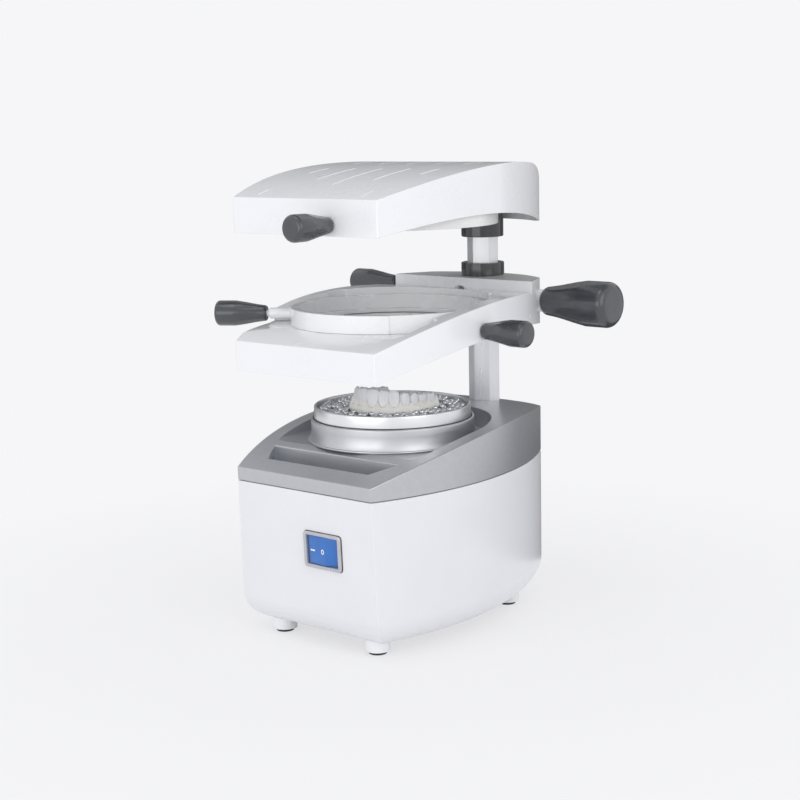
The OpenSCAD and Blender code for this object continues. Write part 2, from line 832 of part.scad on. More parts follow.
module dental_cast() {
    front_h = incisal_z - gum_z;
    back_h = molar_z - gum_z;
    color("Wheat") difference() {
        union() {
            translate([0, arch_y, cast_z])
                rotate([0, 0, 180]) rotate_extrude(angle = 180) translate([arch_r, 0]) gum_section();
            for (side = [0, 1])
                mirror([side, 0, 0])
                    translate([arch_r, arch_y, cast_z]) rotate([0, 0, leg_turn]) {
                        rotate([90, 0, 180])
                            mirror([1, 0, 0]) linear_extrude(leg_len) gum_section();
                        translate([0, leg_len, 0]) cylinder(r1 = 5.4, r2 = 3.6, h = gum_z - cast_z - 1);
                    }
            for (side = [-1, 1]) {
                tooth_place(4.3, side) front_tooth(8.5, front_h, 4.4);
                tooth_place(11.8, side) front_tooth(6.8, front_h - 1, 3.4);
                tooth_place(18.9, side) front_tooth(7.5, front_h - 0.6, 1.2);
                tooth_place(26.2, side) back_tooth(7, back_h + 2.2);
                tooth_place(33.2, side) back_tooth(6.9, back_h + 1.4);
                tooth_place(41.8, side) back_tooth(10, back_h + 0.6);
                tooth_place(51.6, side) back_tooth(9.4, back_h);
            }
        }
        block([-60, -60, cast_z - 10], [60, 60, cast_z]);
    }
}

// Column

module column_foot() {
    color("DimGray") difference() {
        intersection() {
            block([-24, column_y - 30, floor_z], [24, rear_reach, column_z + 8]);
            base_body(base_wall + loose, floor_z, base_top);
        }
        column_hex(column_af + 0.1, column_z, base_top);
        translate([0, column_y, 0]) bolt_way();
        for (x = [-15, 15])
            translate([x, column_y - 20, floor_z - 1]) cylinder(r = 2.2, h = 30);
    }
}

// Bolt hole with the room for its head
module bolt_way() {
    translate([0, 0, floor_z - 1]) cylinder(r = bolt_r + 0.5, h = 40);
    translate([0, 0, floor_z - 1]) cylinder(r = bolt_r + 5, h = socket_z - floor_z + 1);
}

module column() {
    color("Silver") translate([0, column_y, 0]) difference() {
        union() {
            hex(column_af, column_z, column_shoulder);
            translate([0, 0, column_shoulder - 1]) cylinder(r = spigot_r, h = spigot_top - column_shoulder + 1);
        }
        translate([0, 0, column_z - 1]) cylinder(r = bolt_r, h = 31);
        // way for the heater's wires
        translate([0, 0, column_z + 34]) cylinder(r = 4.5, h = 400);
        translate([0, 0, column_z + 40]) rotate([90, 0, 0]) cylinder(r = 4, h = 20);
    }
}

module column_bolt() {
    color("Silver") translate([0, column_y, 0]) {
        hex_head(bolt_r * 1.62, socket_z - 5.3, socket_z);
        translate([0, 0, socket_z - 1]) cylinder(r = bolt_r, h = 29);
    }
}

module hex_head(half_af, z0, z1) {
    translate([0, 0, z0]) cylinder(r = half_af / cos(30), h = z1 - z0, $fn = 6);
}

module column_washer() {
    color("Silver") translate([0, column_y, 0]) difference() {
        translate([0, 0, nut_z - washer_t]) cylinder(r = 12, h = washer_t);
        cylinder(r = spigot_r, h = 400);
    }
}

module column_nut() {
    color("Silver") translate([0, column_y, 0]) difference() {
        hex_head(12, nut_z, nut_z + 6);
        cylinder(r = spigot_r, h = 400);
    }
}

// Switch

module switch_frame() {
    color("Silver") on_front(switch_x, switch_z) difference() {
        union() {
            block([-switch_w / 2, -1.8, -switch_h / 2], [switch_w / 2, 0, switch_h / 2]);
            block(
                [-switch_w / 2 + 1.3, -1, -switch_h / 2 + 1.3],
                [switch_w / 2 - 1.3, 20, switch_h / 2 - 1.3]
            );
            for (i = [-1, 0, 1]) block([i * 8 - 0.4, 19, -3], [i * 8 + 0.4, 28, 3]);
        }
        block(
            [-switch_w / 2 + 2.6, -5, -switch_h / 2 + 2.3],
            [switch_w / 2 - 2.6, 14, switch_h / 2 - 2.3]
        );
        translate([0, 5, -switch_h / 2 + 1.5]) cylinder(r = 1.2 + running, h = switch_h - 3);
    }
}

// The rocker lies with its right half pressed; its two faces meet in a ridge
module rocker() {
    half_w = switch_w / 2 - 3.3;
    half_h = switch_h / 2 - 2.6;
    color("RoyalBlue") on_front(switch_x, switch_z) translate([0, 5, 0]) rotate([0, 0, 5]) {
        intersection() {
            translate([0, 0, -half_h]) linear_extrude(2 * half_h)
                polygon([
                    [-half_w, -4.4], [0, -6.4], [half_w, -4.4], [half_w, -1], [3, 3.5], [-3, 3.5],
                    [-half_w, -1]
                ]);
            translate([0, 0, -half_h - 1]) cylinder(r = half_w + 0.4, h = 2 * half_h + 2);
        }
        translate([0, 0, -half_h - 0.7]) cylinder(r = 1.2, h = 2 * half_h + 1.4);
    }
}

// Sheet frame, which slides on the column

module frame_outer() {
    intersection() {
        outline(0, frame_front, frame_under - 40, block_z);
        union() {
            barrel(frame_top, frame_top_y, frame_crown_r);
            block([-100, block_y, frame_under - 40], [100, rear_reach + 1, block_z]);
        }
    }
}

// Room in the deck for the handle to swing in, in the direction of the handle
module terrace() {
    rotate([0, 0, handle_angle]) block([0, -handle_side, well_z], [130, 130, well_z + 60]);
}

module sheet_frame() {
    color("WhiteSmoke") difference() {
        union() {
            difference() {
                frame_outer();
                // hollow underside
                intersection() {
                    translate([0, 0, -0.01]) outline(frame_wall, frame_front, 100, block_z - frame_wall);
                    union() {
                        barrel(frame_top - frame_wall, frame_top_y, frame_crown_r);
                        block([-100, block_y + frame_wall, 100], [100, rear_reach, block_z]);
                    }
                    difference() {
                        block([-100, -100, 100], [100, rear_reach, block_z]);
                        translate([0, 0, tube_z]) cylinder(r = frame_bore_r + tube_t, h = 400);
                        translate([0, 0, gasket_z - tube_t]) cylinder(r = well_r + tube_t, h = 100);
                        block([-100, -100, well_z - tube_t], [100, 0, block_z]);
                    }
                }
            }
            intersection() {
                frame_outer();
                union() {
                    // block round the column
                    translate([0, column_y, 100]) cylinder(r = bush_r + 3, h = 200);
                    block([-bush_r - 3, column_y, 100], [bush_r + 3, rear_reach, 300]);
                    translate([-left_knob_x, left_knob_y, left_knob_z]) rotate([0, 90, 0])
                        cylinder(r = stud_r + 3.5, h = 26);
                }
            }
            // boss of the clamp stud, faced off in front of the knob
            translate([bush_r, column_y, clamp_z]) rotate([0, 90, 0])
                cylinder(r = boss_r, h = clamp_knob_x - knob_gap - bush_r);
        }
        barrel(frame_under, frame_under_y, frame_arch_r);
        // room over the top cover at the lowest place
        barrel(cover_top + slide_down + rest_gap, cover_top_y, cover_crown_r);
        // well of the clamp ring, seat of the sheet and opening over the pan
        translate([0, 0, well_z]) cylinder(r = well_r, h = 60);
        translate([0, 0, gasket_z]) cylinder(r = seat_r, h = 60);
        cylinder(r = frame_bore_r, h = 400);
        terrace();
        intersection() {
            mirror([1, 0, 0]) terrace();
            outline(right_rim, frame_front, 100, 300);
        }
        // relief along the rim for the swelling knob
        intersection() {
            translate([0, 0, handle_z])
                rotate_extrude() polygon([
                    [ring_r + stub_len - 1, -knob_r1 - 0.8], [ring_r + stub_len + knob_len, -knob_r2 - 4],
                    [ring_r + stub_len + knob_len, 20], [ring_r + stub_len - 1, 20]
                ]);
            wedge(handle_angle - 6, handle_angle + handle_turn + 10, 140, 100, 300);
        }
        // grooves and entries of the ring's lugs
        for (a = lug_angles) {
            wedge(a - lug_half - 1, a + handle_turn + lug_half + 1, lug_r + loose, well_z, well_z + lug_h + 0.6);
            wedge(a + handle_turn - lug_half - 1, a + handle_turn + lug_half + 0.5, lug_r + loose + 0.3, well_z + 1, 300);
        }
        // column, its bushes, studs and pin
        column_hex(column_af + 0.6, 100, 300);
        translate([0, column_y, 0]) {
            translate([0, 0, block_z - 12]) cylinder(r = bush_r - 2.5, h = 60);
            cylinder(r = bush_r - 2.5, h = bush_z + 12);
        }
        translate([0, column_y, clamp_z]) rotate([0, 90, 0]) cylinder(r = clamp_stud_r + running, h = 90);
        translate([-left_knob_x, left_knob_y, left_knob_z]) rotate([0, 90, 0]) cylinder(r = stud_r, h = 16);
        translate([well_r + 1.5, right_knob_y, right_knob_z]) rotate([0, 90, 0])
            cylinder(r = stud_r, h = right_knob_x - well_r);
        translate([pin_x, block_y + 6, frame_top + 0.5 - pin_r]) rotate([90, 0, 0])
            cylinder(r = pin_r - 3, h = 10);
        translate([pin_x, block_y + 0.3, frame_top + 0.5 - pin_r]) rotate([90, 0, 0])
            cylinder(r = pin_r + seat, h = 0.3 + pin_r * (sqrt(2) - 1) + seat);
    }
}

// A bush with a hexagonal bore that slides on the column
module hex_bush(r, z0, z1) {
    translate([0, column_y, z0]) cylinder(r = r, h = z1 - z0);
}

module frame_bush() {
    color("#333333") difference() {
        union() {
            hex_bush(bush_r, block_z, bush_top);
            hex_bush(bush_r - 2.5, block_z - 12, block_z + 1);
        }
        column_hex(column_af + 2 * running, 100, 400);
    }
}

module lower_bush() {
    color("#333333") difference() {
        hex_bush(bush_r - 2.5, bush_z + 2, bush_z + 12);
        column_hex(column_af + 2 * running, 100, 400);
        barrel(frame_under, frame_under_y, frame_arch_r);
    }
}

module guide_pin() {
    color("Gray") translate([pin_x, block_y, frame_top + 0.5 - pin_r]) rotate([90, 0, 0]) difference() {
        union() {
            intersection() {
                translate([0, 0, -pin_r]) sphere(r = pin_r * sqrt(2));
                cylinder(r = pin_r, h = pin_r);
            }
            translate([0, 0, -6]) cylinder(r = pin_r - 3, h = 7);
        }
    }
}

module sheet_gasket() {
    color("#333333") ring(seat_r - 0.2, 3.2, gasket_z, sheet_z - 0.05);
}

module plastic_sheet() {
    color("LightBlue", 0.4) translate([0, 0, sheet_z]) cylinder(r = sheet_r, h = sheet_t);
}

module side_stud(len) {
    rotate([0, 90, 0]) cylinder(r = stud_r, h = len);
}

module left_handle_stud() {
    color("Silver") translate([-left_knob_x - 20, left_knob_y, left_knob_z]) side_stud(36);
}

module left_handle_knob() {
    color("#333333") translate([-left_knob_x, left_knob_y, left_knob_z]) rotate([0, -90, 0])
        knob(knob_len, knob_r1, knob_r2, stud_r, 20);
}

module right_handle_stud() {
    color("Silver") translate([well_r + 1.5, right_knob_y, right_knob_z])
        side_stud(right_knob_x - well_r + 18.5);
}

module right_handle_knob() {
    color("#333333") translate([right_knob_x, right_knob_y, right_knob_z]) rotate([0, 90, 0])
        knob(knob_len, knob_r1, knob_r2, stud_r, 20);
}

module clamp_pad() {
    color("Goldenrod") translate([column_af / 2 + running, column_y, clamp_z]) rotate([0, 90, 0])
        cylinder(r = clamp_stud_r, h = pad_t);
}

module clamp_stud() {
    x0 = column_af / 2 + 2 * running + pad_t;
    color("Silver") translate([x0, column_y, clamp_z]) rotate([0, 90, 0])
        cylinder(r = clamp_stud_r, h = clamp_knob_x + 30 - x0);
}

module clamp_knob() {
    color("#333333") translate([clamp_knob_x, column_y, clamp_z]) rotate([0, 90, 0])
        knob(clamp_knob_len, clamp_knob_r1, clamp_knob_r2, clamp_stud_r, 30);
}

// Clamp ring and its handle

module clamp_ring() {
    z0 = well_z + 0.05;
    color("White") difference() {
        union() {
            translate([0, 0, z0]) cylinder(r = ring_r, h = ring_h);
            for (a = lug_angles) wedge(a - lug_half, a + lug_half, lug_r, z0, z0 + lug_h);
        }
        translate([0, 0, z0 + ring_lip_t]) cylinder(r = ring_open_r, h = 40);
        translate([0, 0, z0 - 1]) cylinder(r = ring_lip_r, h = 40);
        // step in the outer wall to the right of the middle
        difference() {
            wedge(-50, 14, ring_r + 5, z0 - 1, z0 + ring_h + 1);
            cylinder(r = ring_r - ring_step, h = 400);
        }
        rotate([0, 0, handle_angle]) translate([ring_r - 4, 0, handle_z]) rotate([0, 90, 0])
            cylinder(r = stud_r, h = 20);
    }
}

module ring_stub() {
    color("White") rotate([0, 0, handle_angle]) translate([0, 0, handle_z]) rotate([0, 90, 0]) {
        difference() {
            translate([0, 0, ring_r - 2]) cylinder(r = stub_r, h = stub_len + 2);
            cylinder(r = ring_r + 0.02, h = 0.01);
            rotate([0, -90, 0]) translate([0, 0, -20]) cylinder(r = ring_r, h = 40);
        }
        translate([0, 0, ring_r - 4]) cylinder(r = stud_r, h = stub_len + 22);
    }
}

module ring_knob() {
    color("#333333") rotate([0, 0, handle_angle]) translate([ring_r + stub_len, 0, handle_z])
        rotate([0, 90, 0]) knob(knob_len, knob_r1, knob_r2, stud_r, 18);
}

// Heater head, which swings round the column's spigot

function crown_z(y) = heater_top - heater_crown_r
    + sqrt(pow(heater_crown_r, 2) - pow(y - heater_top_y, 2));

// What stays of the rear under its round upper edge: a drum that leans back with the crown
module heater_rear(inset, low) {
    fade_y = 60;
    lift = 0.8;
    y_end = rear_reach - heater_round;
    slope = atan((crown_z(fade_y) - crown_z(y_end)) / (y_end - fade_y));
    reach = (rear_r + 0.3 + heater_round * sin(slope)) / cos(slope) - heater_round;
    top = crown_z(fade_y) + lift + (fade_y - rear_y) * tan(slope);
    start = top - (reach + heater_round) * sin(slope) - heater_round * cos(slope);
    r = heater_round - inset;
    block([-90, -100, low], [90, fade_y, heater_top + 3]);
    translate([0, rear_y, low]) cylinder(r = rear_r + 1 - inset, h = start - low);
    translate([0, rear_y, top]) rotate([-slope, 0, 0]) rotate_extrude($fn = 240) {
        translate([0, -60]) square([reach, 60 - inset]);
        translate([0, -60]) square([reach + r, 60 - heater_round]);
        translate([reach, -heater_round]) circle(r = r);
    }
}

module heater_solid(inset) {
    low = heater_z - 2 - inset / 2;
    intersection() {
        outline(inset, heater_front, low, heater_top + 1);
        barrel(heater_top - inset, heater_top_y, heater_crown_r);
        heater_rear(inset, low - 1);
    }
}

module slot(x, y0, y1) {
    block([x - slot_w / 2, y0, heater_under + 6], [x + slot_w / 2, y1, heater_top + 5]);
}

module heater_shell() {
    color("WhiteSmoke") difference() {
        union() {
            difference() {
                heater_solid(0);
                translate([0, 0, -0.01]) heater_solid(heater_wall);
            }
            intersection() {
                heater_solid(0);
                union() {
                    for (x = [-post_x, post_x], y = post_ys)
                        translate([x, y, bracket_z + bracket_t]) cylinder(r = 4, h = 60);
                    translate([heater_knob_x, -heater_front + 7, heater_knob_z]) rotate([90, 0, 0])
                        cylinder(r = stud_r + 2.5, h = 20);
                }
            }
        }
        barrel(heater_under, heater_under_y, heater_arch_r);
        block([-100, -120, 200], [100, 140, heater_z]);
        // louvres
        for (k = [-2 : 2]) {
            slot(k * slot_pitch, -18 - [38, 25, 7][abs(k)], -5);
            slot(k * slot_pitch, 21, 21 + [45, 33, 19][abs(k)]);
        }
        for (x = [-46, 46]) slot(x, -79, -68);
        for (x = [-post_x, post_x], y = post_ys)
            translate([x, y, bracket_z]) cylinder(r = 1.6, h = 12);
        translate([heater_knob_x, -heater_front + 8, heater_knob_z]) rotate([90, 0, 0])
            cylinder(r = stud_r, h = 20);
    }
}

module heater_bracket() {
    color("Silver") difference() {
        intersection() {
            block([-post_x - 8, -26, bracket_z], [post_x + 8, rear_reach, bracket_z + bracket_t]);
            outline(heater_wall + 0.6, heater_front, bracket_z - 1, bracket_z + 9);
        }
        translate([0, column_y, bracket_z - 1]) cylinder(r = bush_r - 3.4, h = 9);
        for (x = [-post_x, post_x], y = post_ys)
            translate([x, y, bracket_z - 1]) cylinder(r = 1.8, h = 9);
        translate([0, 10, bracket_z - 1]) cylinder(r = 20, h = 9);
    }
}

module heater_bush() {
    color("#333333") difference() {
        union() {
            translate([0, column_y, heater_bush_z]) cylinder(r = bush_r - 0.3, h = bush_shoulder - heater_bush_z);
            translate([0, column_y, bush_shoulder - 1]) cylinder(r = bush_r - 3.5, h = heater_bush_top - bush_shoulder + 1);
        }
        translate([0, column_y, 0]) cylinder(r = spigot_r + running, h = 400);
        translate([0, column_y, 0]) cylinder(r = column_r + 0.8, h = column_shoulder + running);
    }
}

module heater_dish() {
    color("White") difference() {
        translate([0, 0, dish_z]) cylinder(r = dish_r, h = dish_top - dish_z);
        translate([0, 0, dish_z - 1]) cylinder(r = dish_r - dish_t, h = dish_top - dish_t - dish_z + 1);
        for (x = [-terminal_x, terminal_x]) translate([x, 0, dish_z]) cylinder(r = rod_r + 2.2, h = 30);
    }
}

module reflector() {
    color("Silver") difference() {
        translate([0, 0, reflector_z - 4]) cylinder(r1 = dish_r - dish_t - 2, r2 = dish_r - dish_t - 8, h = 5.8);
        translate([0, 0, reflector_z - 5]) cylinder(r1 = dish_r - dish_t - 1.8, r2 = dish_r - dish_t - 8.4, h = 5.6);
        for (x = [-terminal_x, terminal_x]) translate([x, 0, dish_z]) cylinder(r = rod_r + 2.2, h = 30);
    }
}

module element_insulators() {
    color("Ivory") for (x = [-terminal_x, terminal_x])
        translate([x, 0, 0]) ring(rod_r + 2, 2, reflector_z - 1, dish_top - 0.2);
}

// A tubular heating rod: two open rings, joined by straight bars
module heating_element() {
    bar = 7;
    color("Firebrick") translate([0, 0, element_z]) {
        for (k = [0, 1])
            rotate([0, 0, 90 + asin(bar / element_r[k])])
                rotate_extrude(angle = 360 - 2 * asin(bar / element_r[k]))
                    translate([element_r[k], 0]) circle(r = rod_r);
        for (x = [-bar, bar])
            translate([x, element_r[1] * cos(asin(bar / element_r[1])), 0]) rotate([-90, 0, 0])
                cylinder(r = rod_r, h = element_r[0] - element_r[1] + 0.8);
        // legs up to the terminals
        for (x = [-terminal_x, terminal_x]) {
            translate([x, 0, 0]) cylinder(r = rod_r - 0.1, h = dish_top - element_z + 3);
            translate([x, 0, 0]) rotate([0, x > 0 ? 90 : -90, 0])
                cylinder(r = rod_r - 0.2, h = element_r[1] - terminal_x);
            translate([x, 0, 0]) sphere(r = rod_r - 0.1);
        }
    }
}

module heater_stud() {
    color("Silver") translate([heater_knob_x, -heater_front + 8, heater_knob_z]) rotate([90, 0, 0])
        cylinder(r = stud_r, h = knob_gap + 26);
}

module heater_knob() {
    color("#333333") translate([heater_knob_x, -heater_front - knob_gap, heater_knob_z]) rotate([90, 0, 0])
        knob(knob_len, knob_r1, knob_r2, stud_r, 18);
}

at_axis() base_housing();
at_axis() rear_panel();
at_axis() bottom_plate();
at_axis() top_cover();
at_axis() turret();
at_axis() pan_gasket();
at_axis() vacuum_duct();
at_axis() fan_housing();
at_axis() motor_body();
at_axis() motor_bracket();
at_axis() terminal_block();
at_axis() fuse_holder();
at_axis() cord_gland();
at_axis() switch_frame();
at_axis() column_foot();
at_axis() column();
at_axis() column_bolt();
at_axis() column_washer();
at_axis() column_nut();
at_axis() foot_front_left();
at_axis() foot_front_right();
at_axis() foot_rear_left();
at_axis() foot_rear_right();
at_axis() sole_front_left();
at_axis() sole_front_right();
at_axis() sole_rear_left();
at_axis() sole_rear_right();
at_axis() rocker();
at_axis() impeller();
at_axis() motor_shaft();
at_axis() pellet_pan();
at_axis() pellets();
at_axis() dental_cast();
at_axis() sheet_frame();
at_axis() frame_bush();
at_axis() lower_bush();
at_axis() guide_pin();
at_axis() sheet_gasket();
at_axis() plastic_sheet();
at_axis() left_handle_stud();
at_axis() left_handle_knob();
at_axis() right_handle_stud();
at_axis() right_handle_knob();
at_axis() clamp_pad();
at_axis() clamp_knob();
at_axis() clamp_stud();
at_axis() clamp_ring();
at_axis() ring_stub();
at_axis() ring_knob();
at_axis() heater_shell();
at_axis() heater_bracket();
at_axis() heater_bush();
at_axis() heater_dish();
at_axis() reflector();
at_axis() heating_element();
at_axis() element_insulators();
at_axis() heater_stud();
at_axis() heater_knob();
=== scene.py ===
import math
import random

import bmesh
import bpy
from mathutils import Matrix, Vector


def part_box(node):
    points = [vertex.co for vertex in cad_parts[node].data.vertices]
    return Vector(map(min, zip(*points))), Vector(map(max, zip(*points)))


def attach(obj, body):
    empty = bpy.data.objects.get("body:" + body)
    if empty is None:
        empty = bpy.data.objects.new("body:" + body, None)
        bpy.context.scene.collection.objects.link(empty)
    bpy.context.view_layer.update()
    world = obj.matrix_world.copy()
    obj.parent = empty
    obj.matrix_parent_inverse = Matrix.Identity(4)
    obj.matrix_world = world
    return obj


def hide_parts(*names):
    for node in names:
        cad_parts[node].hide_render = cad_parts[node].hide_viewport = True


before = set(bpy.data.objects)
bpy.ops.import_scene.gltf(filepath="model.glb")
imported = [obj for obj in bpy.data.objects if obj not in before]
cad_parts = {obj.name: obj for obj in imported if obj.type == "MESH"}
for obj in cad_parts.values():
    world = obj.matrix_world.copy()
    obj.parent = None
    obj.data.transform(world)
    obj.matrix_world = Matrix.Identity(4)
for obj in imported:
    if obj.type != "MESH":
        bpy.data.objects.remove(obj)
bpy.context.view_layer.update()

# ---- The view and the light ----
# The photograph is taken from the right of the front, a little above the heater head, with a long
# lens, in an even white studio. Grey cards beside the machine give the bright metal its bands.

turn, dip, roll = math.radians(40.536), math.radians(9.667), math.radians(-1.1906)
ahead = Vector((-math.sin(turn) * math.cos(dip), math.cos(turn) * math.cos(dip), -math.sin(dip)))
right = Vector((math.cos(turn), math.sin(turn), 0))
up = right.cross(ahead)
lens = bpy.data.cameras.new("view")
lens.lens, lens.sensor_width, lens.clip_start, lens.clip_end = 74.51, 36, 0.05, 30
camera = bpy.data.objects.new("view", lens)
across = math.cos(roll) * right + math.sin(roll) * up
upward = math.cos(roll) * up - math.sin(roll) * right
camera.matrix_world = (
    Matrix.Translation((0.745, -0.8638, 0.3519))
    @ Matrix((across, upward, -ahead)).transposed().to_4x4()
)
bpy.context.scene.collection.objects.link(camera)
bpy.context.scene.camera = camera
bpy.context.scene.view_settings.view_transform = "Standard"


def tone(code):
    """A colour written as in a paint chart, turned into the shader's own scale."""
    parts = [int(code[i:i + 2], 16) / 255 for i in (0, 2, 4)]
    return [p / 12.92 if p <= 0.04045 else ((p + 0.055) / 1.055) ** 2.4 for p in parts] + [1]


def add(tree, kind, *fed, **settings):
    """A node in a tree. fed holds pairs of a socket and what goes into it."""
    new = tree.nodes.new(kind)
    for key, value in settings.items():
        setattr(new, key, value)
    for socket, value in fed:
        if isinstance(value, bpy.types.NodeSocket):
            tree.links.new(value, new.inputs[socket])
        else:
            new.inputs[socket].default_value = value
    return new


def seen_directly(tree):
    """1 where the camera, a mirror or a clear sheet shows what lies behind the object."""
    path = add(tree, "ShaderNodeLightPath")
    either = add(tree, "ShaderNodeMath", (0, path.outputs["Is Camera Ray"]),
                 (1, path.outputs["Is Glossy Ray"]), operation="MAXIMUM")
    return add(tree, "ShaderNodeMath", (0, either.outputs[0]),
               (1, path.outputs["Is Transmission Ray"]), operation="MAXIMUM").outputs[0]


backdrop = tone("F6F6F8")
world = bpy.data.worlds.new("studio")
bpy.context.scene.world = world
world.use_nodes = True
tree = world.node_tree
tree.nodes.clear()
room = add(tree, "ShaderNodeBackground", ("Color", tone("F4F5F8")), ("Strength", 0.84))
behind = add(tree, "ShaderNodeBackground", ("Color", backdrop), ("Strength", 1.0))
shown = add(tree, "ShaderNodeMixShader", (0, seen_directly(tree)), (1, room.outputs[0]),
            (2, behind.outputs[0]))
add(tree, "ShaderNodeOutputWorld", ("Surface", shown.outputs[0]))


def stage_piece(name, bm, material):
    """A thing of the studio, such as the floor or a card, that isn't part of the machine."""
    mesh = bpy.data.meshes.new(name)
    bm.to_mesh(mesh)
    bm.free()
    mesh.materials.append(material)
    made = bpy.data.objects.new(name, mesh)
    bpy.context.scene.collection.objects.link(made)
    return made


floor_paint = bpy.data.materials.new("studio_floor")
floor_paint.use_nodes = True
tree = floor_paint.node_tree
tree.nodes.clear()
place = add(tree, "ShaderNodeTexCoord").outputs["Object"]
away = add(tree, "ShaderNodeVectorMath", (0, place), operation="LENGTH").outputs["Value"]
fade = add(tree, "ShaderNodeMapRange", ("Value", away), ("From Min", 0.16), ("From Max", 0.5),
           ("To Min", 0.68), ("To Max", 1.0)).outputs[0]
plain = add(tree, "ShaderNodeEmission", ("Color", backdrop), ("Strength", 1.0))
mottle = add(tree, "ShaderNodeTexNoise", ("Vector", place), ("Scale", 30.0)).outputs[0]
paper = add(tree, "ShaderNodeMix", data_type="RGBA")
tree.links.new(mottle, paper.inputs[0])
paper.inputs[6].default_value, paper.inputs[7].default_value = tone("F2F2F4"), tone("F5F5F7")
matt = add(tree, "ShaderNodeBsdfDiffuse", ("Color", paper.outputs[2]))
far = add(tree, "ShaderNodeMath", (0, fade), (1, seen_directly(tree)), operation="MULTIPLY")
ground = add(tree, "ShaderNodeMixShader", (0, far.outputs[0]), (1, matt.outputs[0]), (2, plain.outputs[0]))
add(tree, "ShaderNodeOutputMaterial", ("Surface", ground.outputs[0]))
bm = bmesh.new()
bmesh.ops.create_circle(bm, cap_ends=True, segments=64, radius=6)
stage_piece("studio_floor", bm, floor_paint)


def soft_light(name, at, towards, width, height, watts):
    """A soft box on a stand."""
    lamp = bpy.data.lights.new(name, "AREA")
    lamp.shape, lamp.size, lamp.size_y, lamp.energy = "RECTANGLE", width, height, watts
    box = bpy.data.objects.new(name, lamp)
    box.location = at
    box.rotation_euler = (Vector(towards) - Vector(at)).to_track_quat("-Z", "Y").to_euler()
    box.visible_camera = False
    bpy.context.scene.collection.objects.link(box)


soft_light("right_soft_box", (1.5, -0.45, 0.75), (0, 0, 0.16), 1.1, 1.1, 4.6)
soft_light("top_soft_box", (-0.1, -0.5, 1.6), (0, 0, 0.16), 0.5, 0.5, 1.3)
soft_light("front_soft_box", (0.1, -1.7, 0.4), (0, 0, 0.16), 1.5, 0.8, 5.2)


def card(name, at, towards, width, height, shade, above=None):
    """A grey card that only the machine's bright metal sees, with its shade below and above."""
    card_paint = bpy.data.materials.new(name)
    card_paint.use_nodes = True
    tree = card_paint.node_tree
    place = add(tree, "ShaderNodeTexCoord").outputs["Object"]
    weave = add(tree, "ShaderNodeTexNoise", ("Vector", place), ("Scale", 90.0)).outputs[0]
    height_up = add(tree, "ShaderNodeSeparateXYZ", ("Vector", place)).outputs[2]
    grade = add(tree, "ShaderNodeMapRange", ("Value", height_up), ("From Min", 0.3), ("From Max", 1.5),
                ("To Min", shade), ("To Max", above or shade)).outputs[0]
    grey = add(tree, "ShaderNodeMath", (0, weave), (1, 0.02), (2, grade), operation="MULTIPLY_ADD")
    tree.links.new(grey.outputs[0], tree.nodes["Principled BSDF"].inputs["Base Color"])
    bm = bmesh.new()
    aim = (Vector(towards) - Vector(at)).to_track_quat("-Z", "Y").to_matrix().to_4x4()
    bmesh.ops.create_grid(bm, x_segments=1, y_segments=1, size=0.5)
    bmesh.ops.scale(bm, vec=(width, height, 1), verts=bm.verts)
    bmesh.ops.transform(bm, matrix=Matrix.Translation(at) @ aim, verts=bm.verts)
    made = stage_piece(name, bm, card_paint)
    made.visible_camera = made.visible_shadow = made.visible_diffuse = False
    made.visible_transmission = False


card("card_behind", (0, 0.72, 0.2), (0.03, 0, 0.2), 0.66, 0.4, 0.18)
card("card_rear_left", (-0.95, 1.1, 0.9), (0, 0, 0.9), 1.6, 1.8, 0.07, 0.62)
card("card_left", (-1.0, 0.02, 0.3), (0, 0, 0.3), 0.8, 0.6, 0.2)
card("card_over", (0, 0.35, 2.0), (0, 0, 0.16), 2.6, 1.5, 0.25)
card("card_mat", (-0.3, 0.62, 0.003), (-0.3, 0.62, -1), 1.3, 0.85, 0.07)

# ---- Base housing ----
# The lower half of the body, moulded in one shell and enamelled in gloss white. Its front leans
# back a little, its sides bulge, and its lower edge is a wide round.

AXIS = Vector((-2.30341, 1.7, 0))


def surface(name, colour, shade, rough, spread=0.03, patch=22.0, grain=420.0, relief=0.00002,
            stretch=(1, 1, 1), **plain):
    """A finish whose colour and gloss drift a little over the part, with a fine relief."""
    made = bpy.data.materials.new(name)
    made.use_nodes = True
    tree = made.node_tree
    shader = tree.nodes["Principled BSDF"]
    for socket, value in plain.items():
        shader.inputs[socket.replace("_", " ")].default_value = value
    place = add(tree, "ShaderNodeTexCoord").outputs["Object"]
    spot = add(tree, "ShaderNodeMapping", ("Vector", place), ("Scale", stretch)).outputs[0]
    cloud = add(tree, "ShaderNodeTexNoise", ("Vector", spot), ("Scale", patch), ("Detail", 4.0)).outputs[0]
    share = add(tree, "ShaderNodeMapRange", ("Value", cloud), ("From Min", 0.3), ("From Max", 0.7)).outputs[0]
    blend = add(tree, "ShaderNodeMix", ("Factor", share), data_type="RGBA")
    blend.inputs[6].default_value, blend.inputs[7].default_value = tone(colour), tone(shade)
    tree.links.new(blend.outputs[2], shader.inputs["Base Color"])
    gloss = add(tree, "ShaderNodeMapRange", ("Value", cloud), ("From Min", 0.3), ("From Max", 0.7),
                ("To Min", rough - spread), ("To Max", rough + spread)).outputs[0]
    tree.links.new(gloss, shader.inputs["Roughness"])
    fine = add(tree, "ShaderNodeTexNoise", ("Vector", spot), ("Scale", grain), ("Detail", 3.0)).outputs[0]
    bump = add(tree, "ShaderNodeBump", ("Strength", 0.6), ("Distance", relief), ("Height", fine))
    tree.links.new(bump.outputs[0], shader.inputs["Normal"])
    return made


